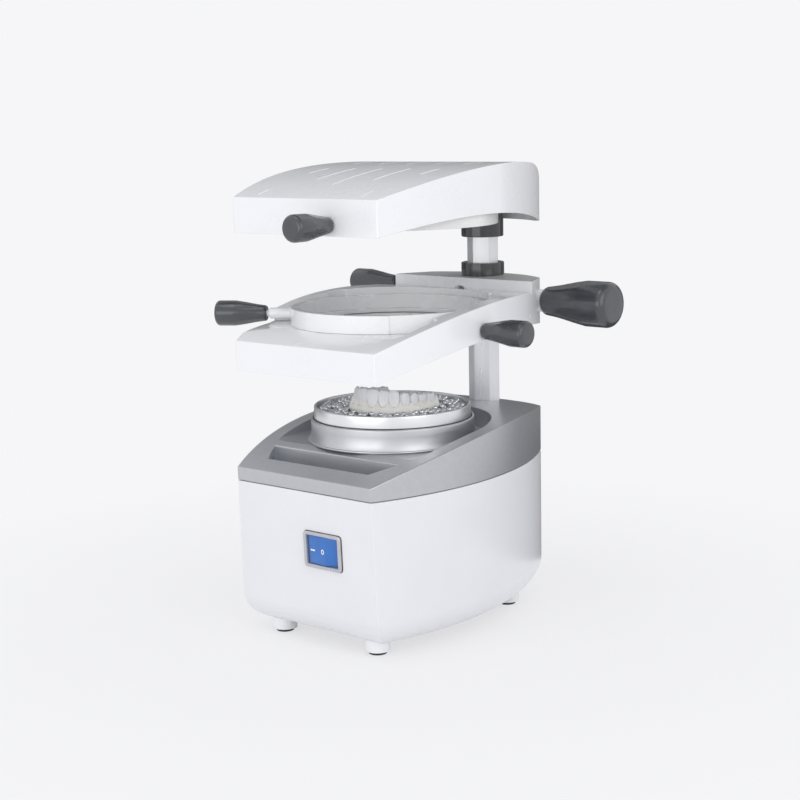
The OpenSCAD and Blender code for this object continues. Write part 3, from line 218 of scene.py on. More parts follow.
def piece(name, bm, finish, body, slot, *stands_for, drawn=True, sharp=32, turned=True):
    """The finished shape as an object on its body. drawn shapes are in millimetres round the pan axis."""
    if drawn:
        bmesh.ops.transform(bm, matrix=Matrix.Scale(0.001, 4) @ Matrix.Translation(AXIS), verts=bm.verts)
    if turned:
        bmesh.ops.recalc_face_normals(bm, faces=bm.faces)
    mesh = bpy.data.meshes.new(name)
    bm.to_mesh(mesh)
    bm.free()
    mesh.materials.append(finish)
    mesh.shade_smooth()
    mesh.set_sharp_from_angle(angle=math.radians(sharp))
    made = bpy.data.objects.new(name, mesh)
    bpy.context.scene.collection.objects.link(made)
    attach(made, body)
    if stands_for:
        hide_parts(*stands_for)
    return made


# the outline that the base, the frame and the head share: two bulged sides and a round rear
side_x, side_y, side_r = 146.6, -3.6, 226
rear_y, rear_r = 38, 86
outline = [("z", -side_x, side_y, side_r), ("z", side_x, side_y, side_r), ("z", 0, rear_y, rear_r)]


def crowned(y, top, radius):
    """A top that is crowned from front to back, highest at y, as one of finished's rounds."""
    return "x", y, top - radius, radius


def finished(node, name, finish, body, slot, edge=0.5, rounds=(), spare=0):
    """The CAD solid as it leaves the workshop: flat faces in one piece, and its edges rounded. rounds
    are the large cylinders in it, which are then shaded as true ones: along an axis, at two places
    across it, with a radius. Edges nearer than spare to the middle plane stay crisp."""
    bm = bmesh.new()
    bm.from_mesh(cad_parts[node].data)
    bmesh.ops.remove_doubles(bm, verts=bm.verts, dist=1e-6)
    bmesh.ops.dissolve_limit(bm, angle_limit=math.radians(0.4), verts=bm.verts, edges=bm.edges)
    if edge:
        crisp = [e for e in bm.edges if e.is_manifold and e.calc_face_angle(0) > math.radians(35)
                 and max(abs(v.co.x * 1000 - AXIS.x) for v in e.verts) >= spare]
        bmesh.ops.bevel(bm, geom=crisp, offset=edge * 0.001, offset_type="OFFSET", segments=2, profile=0.5,
                        affect="EDGES", clamp_overlap=False, material=-1, loop_slide=True)
    made = piece(name, bm, finish, body, slot, node, drawn=False, turned=False)
    even = made.modifiers.new("even_faces", "WEIGHTED_NORMAL")
    even.keep_sharp, even.weight = True, 60
    if rounds:
        evened = made.evaluated_get(bpy.context.evaluated_depsgraph_get()).data
        shading = [Vector(n.vector) for n in evened.corner_normals]
        made.modifiers.remove(even)
        for face in made.data.polygons:
            for along, a, b, radius in rounds:
                middle = AXIS + Vector((0, a, b) if along == "x" else (a, b, 0))
                over = Vector((0, 1, 1) if along == "x" else (1, 1, 0))
                reach = (face.center * 1000 - middle) * over
                if abs(reach.length - radius) > 0.2 or reach.normalized().dot(face.normal) < 0.997:
                    continue
                for corner in face.loop_indices:
                    at = made.data.vertices[made.data.loops[corner].vertex_index].co
                    shading[corner] = ((at * 1000 - middle) * over).normalized()
        made.data.normals_split_custom_set(shading)
    return made


white_enamel = surface("white_enamel", "ECECEF", "E9E9EC", 0.24, 0.03, relief=0.000012,
                       Coat_Weight=0.25, Coat_Roughness=0.12)
finished("base_housing", "base_shell", white_enamel, "base", "white_enamel", edge=0.6)

# ---- Top cover ----
# A moulded cover in silver metallic paint with a sunk platform for the turret and a trough in
# front of it. A dark line runs where it meets the base.

silver_paint = surface("silver_paint", "C2C4C8", "BEC0C5", 0.34, 0.03, patch=300.0, grain=2600.0,
                       relief=0.000006, Metallic=0.72, Coat_Weight=0.3, Coat_Roughness=0.2)
finished("top_cover", "silver_cover", silver_paint, "base", "cover_grey", edge=0.7,
         rounds=outline + [crowned(62, 144.7, 477)])

# ---- Turret and pellet pan ----
# Both are turned from aluminium on a lathe. The turret stands on the platform and carries the
# pan, whose rim is left rounded and bright. A thin dark gasket shows between them.


def turned_metal(name, colour, shade, rough, pitch, relief, **plain):
    """Metal off the lathe: fine rings run round the pan's axis."""
    made = surface(name, colour, shade, rough, patch=60.0, grain=900.0, relief=relief * 0.3,
                   Metallic=0.92, **plain)
    tree = made.node_tree
    shader = tree.nodes["Principled BSDF"]
    place = add(tree, "ShaderNodeTexCoord").outputs["Object"]
    centred = add(tree, "ShaderNodeMapping", ("Vector", place), ("Location", AXIS * -0.001)).outputs[0]
    rings = add(tree, "ShaderNodeTexWave", ("Vector", centred), ("Scale", pitch), ("Distortion", 1.2),
                ("Detail", 2.0), ("Detail Scale", 3.0), wave_type="RINGS", rings_direction="Z").outputs["Fac"]
    grooves = add(tree, "ShaderNodeTexWave", ("Vector", centred), ("Scale", pitch), ("Distortion", 1.0),
                  ("Detail", 2.0), wave_type="BANDS", bands_direction="Z").outputs["Fac"]
    both = add(tree, "ShaderNodeMath", (0, rings), (1, grooves), operation="ADD").outputs[0]
    bump = add(tree, "ShaderNodeBump", ("Strength", 0.5), ("Distance", relief), ("Height", both))
    tree.links.new(shader.inputs["Normal"].links[0].from_socket, bump.inputs["Normal"])
    tree.links.new(bump.outputs[0], shader.inputs["Normal"])
    return made


def rounded(points, bends):
    """A profile of radius and height with rounded corners. bends gives the bend of some of them."""
    line = []
    for i, (r, z) in enumerate(points):
        bend = bends.get(i, 0)
        if not bend:
            line.append((r, z))
            continue
        corner = Vector((r, z))
        into = (Vector(points[i - 1]) - corner).normalized()
        out = (Vector(points[i + 1]) - corner).normalized()
        half = into.angle(out) / 2
        middle = corner + (into + out).normalized() * bend / math.sin(half)
        start, end = corner + into * bend / math.tan(half), corner + out * bend / math.tan(half)
        a, b = start - middle, end - middle
        for k in range(7):
            line.append(tuple(middle + a.slerp(b, k / 6)))
    return line


def spun(line, steps=96):
    """A profile of radius and height, spun round its axis."""
    bm = bmesh.new()
    ends = [bm.verts.new((r, 0, z)) for r, z in line]
    edges = [bm.edges.new(pair) for pair in zip(ends, ends[1:])]
    bmesh.ops.spin(bm, geom=ends + edges, cent=(0, 0, 0), axis=(0, 0, 1), angle=math.tau, steps=steps,
                   use_merge=True)
    bmesh.ops.remove_doubles(bm, verts=bm.verts, dist=1e-4)
    return bm


turret_metal = turned_metal("turret_metal", "D0D1D4", "CBCCCF", 0.4, 1400.0, 0.000003)
bm = spun(rounded([
    (18, 130.5), (59.1, 130.5), (59.1, 131.3), (58.5, 132), (57.8, 133.6), (57.35, 135.8), (57.1, 138.2),
    (57, 141), (57, 146), (53, 146), (53, 134), (18, 134), (18, 130.5),
], {2: 0.3, 8: 0.6, 9: 0.3}), 160)
piece("turret_drum", bm, turret_metal, "base", "turret_metal", "turret")

pan_metal = turned_metal("pan_metal", "ECEDEF", "E8E9EB", 0.3, 1800.0, 0.0000012)
bm = spun(rounded([
    (0, 148.1), (53, 148.1), (53, 155), (54.6, 155), (54.6, 146.6), (52.6, 146.6), (52.6, 141.6),
    (50.6, 141.6), (50.6, 146.6), (0, 146.6),
], {1: 1.2, 2: 0.75, 3: 0.75, 4: 0.5, 6: 0.4, 7: 0.4}), 160)
piece("pellet_pan_turned", bm, pan_metal, "pan", "pan_metal", "pellet_pan")

rubber_and_painted_shadow = surface("rubber_and_painted_shadow", "2B2B2D", "242426", 0.62, 0.05, patch=120.0, grain=1500.0,
                      relief=0.00003)
finished("pan_gasket", "pan_seal", rubber_and_painted_shadow, "base", "rubber", edge=0)

# ---- Steel pellets ----
# Hundreds of bright steel balls lie in the pan, in a full layer and a loose one. They hold the cast
# level and let the air through, and they are poured, so that no two rows of them are alike.

ball_steel = surface("ball_steel", "F1F2F4", "E3E5E8", 0.24, 0.04, patch=160.0, grain=2400.0,
                     relief=0.000002, Metallic=0.9)
pour = random.Random(7)
ball_r, pitch, wander, pan_inside = 1.9, 4.15, 0.6, 52.85
# the arch that the cast follows: a half circle round arch_y, and two straight ends that close in
arch_r, arch_y, close_in, arch_end = 22.4, -3.0, math.radians(4), 27.5


def under_cast(x, y):
    """True where the cast stands, with a little room round it."""
    inside, outside = arch_r - 7.9, arch_r + 7.2
    if y <= arch_y:
        return inside < math.hypot(x, y - arch_y) < outside
    lean = (y - arch_y) * math.tan(close_in)
    return inside - lean < abs(x) < outside - lean and y < arch_end


def join_in(bm, part):
    """Adds a finished part to a piece that is made of many."""
    mesh = bpy.data.meshes.new("part")
    part.to_mesh(mesh)
    part.free()
    bm.from_mesh(mesh)
    bpy.data.meshes.remove(mesh)


bm = bmesh.new()
# height of the balls' middles, share that is left out, and shift from the layer below
for height, gaps, shift_x, shift_y in ((150.05, 0.1, 0, 0), (152.7, 0.58, 2.07, 1.2)):
    for row in range(-15, 16):
        line = bmesh.new()
        for column in range(-15, 16):
            x = (column + (row % 2) / 2) * pitch + shift_x + pour.uniform(-wander, wander)
            y = row * pitch * 0.866 + shift_y + pour.uniform(-wander, wander)
            if math.hypot(x, y) > pan_inside - ball_r or under_cast(x, y) or pour.random() < gaps:
                continue
            spot = Matrix.Translation((x, y, height + pour.uniform(0, 0.12)))
            bmesh.ops.create_icosphere(line, subdivisions=2, radius=ball_r, matrix=spot)
        join_in(bm, line)
piece("pellets_poured", bm, ball_steel, "pan", "steel_balls", "pellets", sharp=180)

# ---- Dental cast ----
# A plaster model of an upper jaw, poured in cream stone, with pale teeth that stand out of the
# scalloped gum. It rests on the pellets and is the thing that the hot sheet is drawn over.

plaster = surface("cream_plaster", "FDFBF4", "F9F7ED", 0.62, 0.05, patch=90.0, grain=1300.0, relief=0.00005)
tooth_finish = surface("pale_teeth", "F6F6F7", "F0F0F2", 0.34, 0.05, patch=180.0, grain=700.0,
                       relief=0.00001, Coat_Weight=0.3, Coat_Roughness=0.2)
# place along the arch, width, height above the gum, thickness at the neck and at the edge
teeth = [
    (4.3, 9.0, 11.0, 6.2, 1.6), (11.9, 7.2, 10.4, 5.8, 1.5), (19.0, 7.9, 10.6, 6.6, 1.9),
    (26.3, 7.4, 8.2, 7.7, 5.4), (33.4, 7.2, 7.4, 7.9, 5.8), (41.9, 10.2, 6.2, 8.9, 7.0),
    (51.7, 9.8, 5.4, 8.7, 7.0),
]
quarter = arch_r * math.pi / 2
gum_z, neck_z = 152.65, 157.6


def along_arch(s):
    """The point on the arch at s from the middle, and the direction that points outwards there."""
    side = -1 if s < 0 else 1
    s = abs(s)
    if s < quarter:
        a = s / arch_r
        out = Vector((side * math.sin(a), -math.cos(a), 0))
        return Vector((0, arch_y, 0)) + out * arch_r, out
    back = s - quarter
    return (Vector((side * (arch_r - back * math.sin(close_in)), arch_y + back * math.cos(close_in), 0)),
            Vector((side * math.cos(close_in), math.sin(close_in), 0)))


def scallop(s):
    """How high the gum stands: low in front of each tooth, high between two."""
    place, width = min(((t[0], t[1]) for t in teeth), key=lambda t: abs(abs(s) - t[0]))
    share = min(abs(abs(s) - place) / (width / 2), 1.1)
    rise = 4.6 if abs(s) < 24 else 3.0
    return -1.1 + rise * share ** 2.4


def skin(bm, loops, closed=False):
    """Faces between neighbouring loops of points, and over both ends if the row of loops is open."""
    for one, two in zip(loops, loops[1:] + loops[:1] if closed else loops[1:]):
        for k in range(len(one)):
            bm.faces.new((one[k], one[(k + 1) % len(one)], two[(k + 1) % len(two)], two[k]))
    if not closed:
        bm.faces.new(loops[0])
        bm.faces.new(reversed(loops[-1]))


bm = bmesh.new()
loops = []
end, steps = 60.5, 240
for i in range(steps + 1):
    s = -end + 2 * end * i / steps
    point, out = along_arch(s)
    lift = scallop(s)
    close = min((end - abs(s)) / 4.5, 1)
    squeeze = math.sqrt(max(1 - (1 - close) ** 2, 0.02))
    section = [
        (5.6, -1.6), (5.9, 0.2), (5.8, 1.6), (5.4, 3.0), (5.0, 4.0 + lift * 0.3), (4.4, 4.9 + lift * 0.65),
        (3.6, 5.3 + lift * 0.95), (2.4, 5.4 + lift), (0, 5.3 + lift * 0.9), (-2.4, 5.3 + lift * 0.9),
        (-3.9, 4.9 + lift * 0.7), (-5.2, 3.8 + lift * 0.3), (-6.2, 2.0), (-6.5, 0.4), (-6.3, -1.6),
    ]
    wobble = 0.12 * math.sin(s * 1.7) + 0.08 * math.sin(s * 4.1 + 1)
    loops.append([
        bm.verts.new(point + out * (u * squeeze + (wobble if k in (2, 3, 12) else 0))
                     + Vector((0, 0, gum_z + z * (0.62 + 0.38 * squeeze))))
        for k, (u, z) in enumerate(section)
    ])
skin(bm, loops)
gum = piece("cast_gum", bm, plaster, "cast", "plaster", sharp=60)

bm = bmesh.new()
for side in (-1, 1):
    for number, (s, width, height, neck, edge) in enumerate(teeth):
        point, out = along_arch(side * s)
        front = number < 3
        tooth = bmesh.new()
        bmesh.ops.create_cube(tooth, size=1)
        bmesh.ops.subdivide_edges(tooth, edges=tooth.edges, cuts=5, use_grid_fill=True)
        twist = Matrix((Vector((-out.y, out.x, 0)), out, Vector((0, 0, 1)))).transposed()
        for v in tooth.verts:
            x, y, z = v.co * 2
            t = (z + 1) / 2
            # a pillow instead of a block
            px = x * math.sqrt(1 - y * y / 4 - z * z / 7)
            py = y * math.sqrt(1 - x * x / 3 - z * z / 7)
            pz = z * (1 - 0.10 * x * x - 0.06 * y * y)
            if front:
                wide = width * (0.74 + 0.30 * math.sin(min(t * 1.25, 1) * math.pi / 2))
                deep = neck * (1 - t) ** 0.8 + edge * t ** 0.8
                lean = -0.4 + 1.1 * t - 1.2 * t * t
                ridge = 0.12 * math.cos(px * math.pi * 2.2) * t if y > 0 else 0
                peak = -0.9 * abs(px) ** 1.6 * t if number == 2 else -0.25 * abs(px) ** 6 * t
                top = (pz + 1) / 2 * (height + 3.4) - 3.4 + peak
            else:
                wide = width * (0.80 + 0.22 * math.sin(t * math.pi * 0.62))
                deep = neck * (1 - t * t) + edge * t * t + 0.5 * math.sin(t * math.pi)
                lean, ridge = 0, 0
                molar = width > 8
                cusps = 0.55 * math.cos((px if molar else px * 0.5) * math.pi * 1.15 + math.pi * molar)
                groove = -1.0 * math.exp(-(py / 0.34) ** 2)
                top = (pz + 1) / 2 * (height + 3.2) - 3.2 + (cusps + groove) * max(t - 0.55, 0) / 0.45
            u, w = px * wide / 2, py * deep / 2 + lean + ridge
            v.co = point + twist @ Vector((u, w, 0)) + Vector((0, 0, neck_z + top))
        join_in(bm, tooth)
crowns = piece("cast_teeth", bm, tooth_finish, "cast", "plaster", "dental_cast", sharp=70)
for made in (gum, crowns):
    soft = made.modifiers.new("soft", "SUBSURF")
    soft.levels = soft.render_levels = 1

# ---- Column ----
# A ground and polished hexagonal steel bar, bolted to a foot inside the base. Its upper end is
# turned down to a round spigot that the heater head swings on.

polished_steel = surface("polished_steel", "CFD0D3", "BFC1C5", 0.13, 0.03, patch=30.0, grain=500.0,
                         relief=0.000006, stretch=(6, 6, 0.3), Metallic=1.0)
ground_steel = surface("ground_steel", "F3F4F6", "ECEDF0", 0.3, 0.03, patch=30.0, grain=500.0,
                       relief=0.0000012, stretch=(6, 6, 0.3), Metallic=0.45)
finished("column", "column_bar", ground_steel, "base", "polished_steel", edge=0.6)
plate_steel = surface("plate_steel", "B9BBBE", "A9ABAF", 0.32, 0.05, patch=60.0, grain=900.0, relief=0.00001,
                      Metallic=1.0)
for name in ("column_bolt", "column_washer", "column_nut"):
    finished(name, name + "_plated", plate_steel, "base", "plate_steel", edge=0.3)

# ---- Sheet frame ----
# A cast frame in white enamel that slides up and down the column and holds the plastic sheet
# over the pan. Its block at the column carries a black bush and a small round guide pin.

white_body = surface("white_body", "F5F5F7", "F2F2F4", 0.26, 0.03, relief=0.000014, Coat_Weight=0.6,
                     Coat_Roughness=0.12)
finished("sheet_frame", "sheet_frame_cast", white_body, "carriage", "white_body", edge=0.6,
         rounds=outline + [crowned(45, 229.9, 370)])
black_bush = surface("black_bush", "3A3B3E", "323336", 0.14, 0.03, patch=80.0, grain=900.0, relief=0.00001,
                     Coat_Weight=0.4)
finished("frame_bush", "frame_bush_turned", black_bush, "carriage", "black_gloss", edge=0.7)
finished("lower_bush", "lower_bush_turned", black_bush, "carriage", "black_gloss", edge=0.3)
finished("guide_pin", "guide_pin_turned", plate_steel, "carriage", "plate_steel", edge=0.3)
finished("sheet_gasket", "sheet_seal", rubber_and_painted_shadow, "carriage", "rubber", edge=0)

# ---- Plastic sheet ----
# A disc of clear thermoplastic, a millimetre thick, held at its edge between the frame's seal
# and the clamp ring. It softens under the heater and is then pulled over the cast.

# the sheet is part clear and part flat milky white, with its shine turned low: the white is painted
# reflection of the bright room
clear_sheet = surface("clear_sheet", "FDFEFE", "F9FBFB", 0.1, 0.02, patch=14.0, grain=60.0, relief=0.00003,
                      Transmission_Weight=0.6, IOR=1.49, Specular_IOR_Level=0.12)
under, over, sheet_r = 211.2, 212.2, 62.45
bm = spun([(0, under), (sheet_r - 0.25, under), (sheet_r, under + 0.15), (sheet_r, over - 0.15),
           (sheet_r - 0.25, over)]
          + [(60 - 2 * k, over - 0.05 * math.sin(k * 1.1) ** 2) for k in range(31)], 128)
piece("sheet_clear_disc", bm, clear_sheet, "carriage", "clear_sheet", "plastic_sheet", sharp=40)

# ---- Clamp ring ----
# A white nylon ring, slightly translucent, that a short turn locks on the frame by two lugs.
# Its white stub carries the black handle at the left.

nylon = surface("white_nylon", "F7F7F8", "F3F3F5", 0.26, 0.04, patch=40.0, grain=700.0, relief=0.000008,
                Subsurface_Weight=0.12, Subsurface_Radius=(1, 1, 1), Subsurface_Scale=0.003, Coat_Weight=0.3,
                Coat_Roughness=0.1)
finished("clamp_ring", "clamp_ring_moulded", nylon, "ring", "white_body", edge=0.5)
finished("ring_stub", "ring_stub_moulded", nylon, "ring", "white_body", edge=0.4)

# ---- Handles ----
# Tapered knobs turned in black phenolic and polished, four on steel studs and one on the ring's
# stub. A slim foot swells to a round end, so that a gloved hand holds them well. The largest works
# the clamp screw.

black_gloss = surface("black_phenolic", "46474B", "3D3E43", 0.24, 0.04, patch=70.0, grain=700.0,
                      relief=0.00001, Coat_Weight=0.5, Coat_Roughness=0.14)


def knob(name, node, body, foot, along, length, thin, thick, bore, depth):
    """A handle knob from its foot along a direction, with the radius of its foot and of its end."""
    shoulder, swell, tip = thin / 3, 0.62 * length, thick / 3
    line = [(bore, depth), (bore, 0.4), (bore + 0.4, 0)]
    line += [(thin - shoulder * (1 - math.sin(a)), shoulder * (1 - math.cos(a)))
             for a in [math.radians(15 * k) for k in range(7)]]
    for k in range(1, 21):
        t = k / 20
        taper = t - 0.03 * math.sin(math.tau * t)
        line.append((thin + (thick - thin) * taper, shoulder + (swell - shoulder) * t))
    line += [(thick - tip * (1 - math.cos(a)), length - tip * (1 - math.sin(a)))
             for a in [math.radians(10 * k) for k in range(10)]]
    line += [(thick * 0.3, length), (0, length)]
    bm = spun([(0, depth)] + line, 64)
    # eight shallow hollows run along the grip and fade out before both ends
    for v in bm.verts:
        reach = math.hypot(v.co.x, v.co.y)
        if reach > thin * 0.9 and shoulder < v.co.z < length - tip:
            along_grip = (v.co.z - shoulder) / (swell * 1.05 - shoulder)
            if 0 < along_grip < 1:
                hollow = (1 - math.cos(8 * math.atan2(v.co.y, v.co.x))) / 2
                keep = 1 - 0.055 * math.sin(math.pi * along_grip) * hollow
                v.co.x, v.co.y = v.co.x * keep, v.co.y * keep
    aim = Vector((0, 0, 1)).rotation_difference(Vector(along)).to_matrix().to_4x4()
    bmesh.ops.transform(bm, matrix=Matrix.Translation(foot) @ aim, verts=bm.verts)
    piece(name, bm, black_gloss, body, "black_gloss", node, sharp=50)


def middle(node):
    """The middle of a CAD node in millimetres round the pan axis."""
    low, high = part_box(node)
    return (Vector(low) + Vector(high)) * 500 - AXIS


# the ring's handle points to the left and forwards, the others straight out of the part they are on
ring_way = Matrix.Rotation(math.radians(210), 3, "Z") @ Vector((1, 0, 0))
to_left, to_right, forwards = Vector((-1, 0, 0)), Vector((1, 0, 0)), Vector((0, -1, 0))
half, half_big = 21, 31
knob("ring_knob_turned", "ring_knob", "ring", ring_way * 88 + Vector((0, 0, 218.45)), ring_way,
     37, 5.6, 8.9, 2.5, 16)
knob("left_knob_turned", "left_handle_knob", "carriage", middle("left_handle_knob") - to_left * half, to_left,
     42, 5.8, 9.4, 2.5, 20)
knob("right_knob_turned", "right_handle_knob", "carriage", middle("right_handle_knob") - to_right * half,
     to_right, 36, 5.6, 8.9, 2.5, 20)
knob("clamp_knob_turned", "clamp_knob", "clamp_screw", middle("clamp_knob") - to_right * half_big, to_right,
     58, 10.4, 16.2, 4, 30)
knob("heater_knob_turned", "heater_knob", "heater", middle("heater_knob") - forwards * half, forwards,
     35, 5.6, 8.9, 2.5, 18)
for node, body in (("left_handle_stud", "carriage"), ("right_handle_stud", "carriage"),
                   ("clamp_stud", "clamp_screw"), ("heater_stud", "heater")):
    finished(node, node + "_plated", plate_steel, body, "plate_steel", edge=0.2)
brass = surface("pad_brass", "C9A860", "B8954C", 0.34, 0.05, patch=80.0, grain=900.0, Metallic=1.0)
finished("clamp_pad", "clamp_pad_turned", brass, "carriage", "pad_brass", edge=0.3)

# ---- Heater head ----
# A white enamelled shell with louvres over the element, which swings round the column. Under it
# a white ceramic dish holds the polished reflector and the tubular heating rod.

head_y, head_top, head_r = 45, 320.9, 449
finished("heater_shell", "heater_shell_enamelled", white_body, "heater", "white_body", edge=0.5, spare=60,
         rounds=outline + [crowned(head_y, head_top, head_r)])
# each louvre's place across the head, and where it starts and ends: two rows of five, and two by
# the front corners
row_pitch = 25
louvres = [(row_pitch * k, -18 - (38, 25, 7)[abs(k)], -5) for k in range(-2, 3)]
louvres += [(row_pitch * k, 21, 21 + (45, 33, 19)[abs(k)]) for k in range(-2, 3)]
louvres += [(-46, -79, -68), (46, -79, -68)]
# the pressed lip of a louvre slopes down inside its slot and catches the light
lip = ((-1.3, -0.1), (0.9, -1.9), (-1.3, -2.0))
bm = bmesh.new()
for x, start, end in louvres:
    loops = []
    for i in range(9):
        y = start + 0.05 + (end - start - 0.1) * i / 8
        top = head_top - head_r + math.sqrt(head_r ** 2 - (y - head_y) ** 2)
        loops.append([bm.verts.new((x + a, y, top + b)) for a, b in lip])
    skin(bm, loops)
piece("louvre_lips", bm, white_body, "heater", "white_body", sharp=20)
finished("heater_bracket", "heater_bracket_plated", plate_steel, "heater", "plate_steel", edge=0.3)
finished("heater_bush", "heater_bush_turned", black_bush, "heater", "black_gloss", edge=0.7)
ceramic = surface("white_ceramic", "F0F0EE", "E8E8E5", 0.3, 0.06, patch=50.0, grain=500.0, relief=0.00003,
                  Coat_Weight=0.5, Coat_Roughness=0.1)
finished("heater_dish", "heater_dish_glazed", ceramic, "heater", "white_ceramic", edge=0.5)
finished("element_insulators", "insulators_glazed", ceramic, "heater", "white_ceramic", edge=0.2)
finished("reflector", "reflector_polished", polished_steel, "heater", "polished_steel", edge=0)
rod = surface("heater_rod", "5B4A44", "3E3532", 0.55, 0.1, patch=70.0, grain=1200.0, relief=0.00004,
              Metallic=0.6)
finished("heating_element", "heating_rod", rod, "heater", "heater_rod", edge=0)

# ---- Switch ----
# A rocker switch in a bright frame, snapped into the leaning front, with a thin dark ring of painted
# shadow round the frame. The blue rocker lies with its right half pressed and carries two plain
# white marks.

switch_frame_metal = surface("switch_frame_metal", "C6C7CA", "BCBEC2", 0.3, 0.04, patch=120.0, grain=900.0,
                             relief=0.000006, Metallic=0.55)
front_y, seam_z, lean_back = -93.5, 109.2, math.radians(2.22895)
switch_x, switch_z, half_width, half_height = 16.5, 70.5, 16.5, 12.3
switch_place = (Matrix.Translation((switch_x, front_y + (seam_z - switch_z) * math.tan(lean_back), switch_z))
                @ Matrix.Rotation(lean_back, 4, "X"))


def framed(name, profile, finish, *stands_for):
    """A rounded rectangular ring on the switch's place. profile gives inset, depth and corner radius."""
    bm = bmesh.new()
    loops = []
    for inset, depth, bend in profile:
        wide, high = half_width - inset - bend, half_height - inset * 0.88 - bend
        loops.append([
            bm.verts.new(switch_place @ Vector((
                sx * wide + bend * math.cos(math.radians(first + 15 * k)), depth,
                sz * high + bend * math.sin(math.radians(first + 15 * k)))))
            for sx, sz, first in ((1, 1, 0), (-1, 1, 90), (-1, -1, 180), (1, -1, 270)) for k in range(7)
        ])
    skin(bm, loops, closed=True)
    piece(name, bm, finish, "base", "switch_grey", *stands_for, sharp=40)


framed("switch_bezel", [
    (0, 0.1, 2.3), (0, -1.2, 2.3), (0.12, -1.55, 2.2), (0.5, -1.8, 1.9), (2.1, -1.8, 0.9),
    (2.45, -1.65, 0.7), (2.6, -1.3, 0.6), (2.6, 12, 0.6), (1.5, 12, 0.8),
], switch_frame_metal, "switch_frame")
# a thin dark ring just outside the bezel, in the dark rubber finish: painted shadow round the switch frame
framed("switch_painted_shadow_ring", [(-0.4, 0.1, 2.7), (-0.4, -0.3, 2.7), (-0.2, -0.5, 2.5), (0.4, -0.5, 2), (0.4, 0.1, 2)],
       rubber_and_painted_shadow)
switch_blue = surface("switch_blue", "2C71C4", "286ABA", 0.3, 0.04, patch=150.0, grain=1400.0,
                      relief=0.00001, Coat_Weight=0.4, Coat_Roughness=0.12)
mark_white = surface("mark_white", "F7F8FA", "EDEFF2", 0.4, 0.05, patch=300.0, grain=2000.0)
# the rocker rests five degrees over on its pivot, and its ridge lies a little to the right
rocker_place = switch_place @ Matrix.Translation((0, 5, 0)) @ Matrix.Rotation(math.radians(5), 4, "Z")
ridge_x = 1.8
bm = bmesh.new()
low, high = [[bm.verts.new((x, y, z)) for x, y in (
    (-13.1, -1.2), (-13.1, -4.35), (ridge_x, -6.38), (13.1, -4.4), (13.1, -1.2), (3, 3.4), (-3, 3.4))]
    for z in (-9.68, 9.68)]
skin(bm, [low, high])
bmesh.ops.bevel(bm, geom=bm.edges[:], offset=0.42, segments=3, profile=0.5, affect="EDGES")
bmesh.ops.transform(bm, matrix=rocker_place, verts=bm.verts)
piece("rocker_moulded", bm, switch_blue, "rocker", "switch_blue", "rocker")
# the two marks on the left face: a bar, and a nought with a raised rounded line
slope = math.atan2(2.03, 14.9)
face = rocker_place @ Matrix.Translation((ridge_x, -6.4, 0)) @ Matrix.Rotation(-slope, 4, "Z")
bm = bmesh.new()
bmesh.ops.create_cube(bm, size=1)
bmesh.ops.scale(bm, vec=(4.0, 0.16, 1.1), verts=bm.verts)
bmesh.ops.bevel(bm, geom=bm.edges[:], offset=0.07, segments=2, profile=0.5, affect="EDGES")
bmesh.ops.transform(bm, matrix=face @ Matrix.Translation((-11.4, 0, -0.4)), verts=bm.verts)
piece("rocker_mark_on", bm, mark_white, "rocker", "switch_blue")
bm = bmesh.new()
loops = [
    [bm.verts.new(face @ Vector((wide * math.cos(a) - 2.2, depth, high * math.sin(a) - 0.4)))
     for a in [math.tau * k / 32 for k in range(32)]]
    for wide, high, depth in ((1.3, 1.8, 0.08), (1.3, 1.8, -0.05), (1.22, 1.7, -0.08), (0.7, 1.15, -0.08),
                              (0.64, 1.08, -0.05), (0.64, 1.08, 0.08))
]
skin(bm, loops, closed=True)
piece("rocker_mark_off", bm, mark_white, "rocker", "switch_blue")

# ---- Rear, underside and feet ----
# A moulded rear panel with exhaust slots, the cord's gland and the fuse holder, a steel service
# plate below, and four short feet on rubber soles.

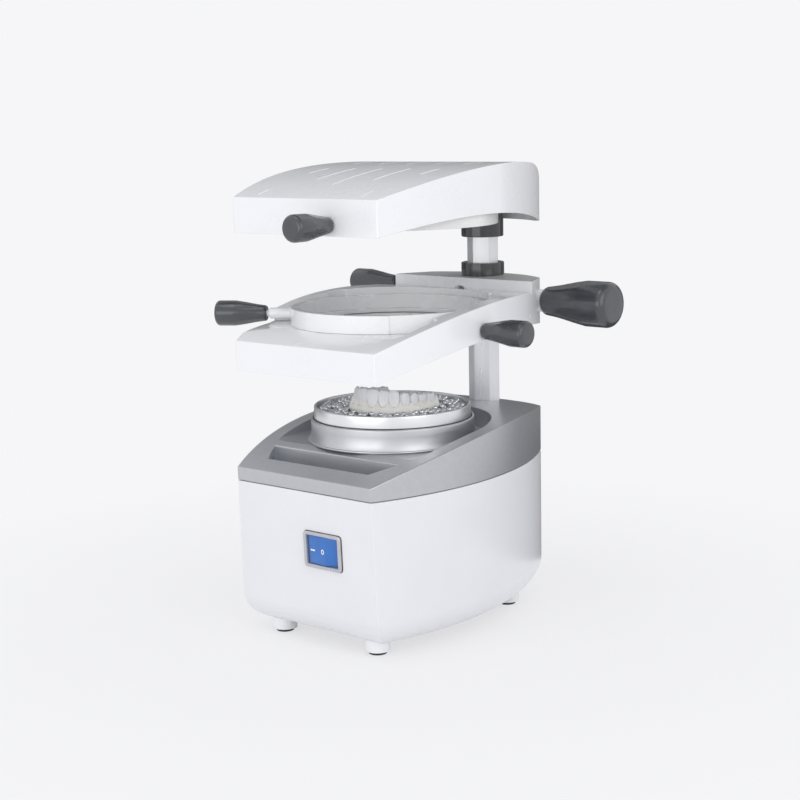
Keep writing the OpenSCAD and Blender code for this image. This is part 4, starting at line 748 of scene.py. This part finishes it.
rear_plastic = surface("rear_plastic", "D9D9DC", "D2D2D6", 0.42, 0.04, patch=40.0, grain=900.0,
                       relief=0.00003)
finished("rear_panel", "rear_panel_moulded", rear_plastic, "base", "rear_plastic", edge=0.4)
dark_plastic = surface("dark_plastic", "3A3B3E", "333437", 0.45, 0.05, patch=60.0, grain=900.0,
                       relief=0.00003)
for name in ("cord_gland", "fuse_holder"):
    finished(name, name + "_moulded", dark_plastic, "base", "dark_plastic", edge=0.4)
finished("bottom_plate", "service_plate", plate_steel, "base", "plate_steel", edge=0.2)
for side in ("front_left", "front_right", "rear_left", "rear_right"):
    finished("foot_" + side, "foot_moulded_" + side, white_body, "base", "white_body", edge=0.4)
    finished("sole_" + side, "sole_pad_" + side, rubber_and_painted_shadow, "base", "rubber", edge=0.5)


def screws(name, places):
    """Small socket screws, each at a place whose +Z points out of the panel."""
    bm = bmesh.new()
    for place in places:
        screw = spun([(0, 0.45), (1.1, 0.45), (1.15, 1.15), (2.1, 1.1), (2.7, 0.7), (2.8, 0.3), (2.8, -0.3),
                      (0, -0.3)], 24)
        bmesh.ops.transform(screw, matrix=place, verts=screw.verts)
        join_in(bm, screw)
    piece(name, bm, plate_steel, "base", "plate_steel")


outwards = Matrix.Translation((0, rear_r, 0)) @ Matrix.Rotation(math.radians(-90), 4, "X")
screws("panel_screws", [
    Matrix.Translation((0, rear_y, z)) @ Matrix.Rotation(math.radians(turn), 4, "Z") @ outwards
    for turn in (-30, 30) for z in (35.5, 99.5)])
low, high = [Vector(corner) * 1000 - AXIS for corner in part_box("bottom_plate")]
from_edge = 6
screws("plate_screws", [
    Matrix.Translation((x, y, low.z)) @ Matrix.Rotation(math.pi, 4, "X")
    for x in (low.x + from_edge, high.x - from_edge)
    for y in (low.y + from_edge, (low.y + high.y) / 2, high.y - from_edge)])

# ---- Motor, fan and duct ----
# Inside the base: a universal motor on a three-legged bracket drives the fan, which draws the air
# down through the pan, the turret and a rubber duct. A terminal block is there for the mains wires.

cast_alloy = surface("cast_alloy", "9A9CA0", "8A8C90", 0.46, 0.06, patch=60.0, grain=700.0,
                     relief=0.00006, Metallic=0.8)
inside = {
    "vacuum_duct": rubber_and_painted_shadow, "fan_housing": cast_alloy, "motor_body": cast_alloy,
    "motor_bracket": plate_steel, "terminal_block": ceramic, "column_foot": cast_alloy,
    "impeller": cast_alloy, "motor_shaft": polished_steel,
}
for name, finish in inside.items():
    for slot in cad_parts[name].material_slots:
        slot.material = finish
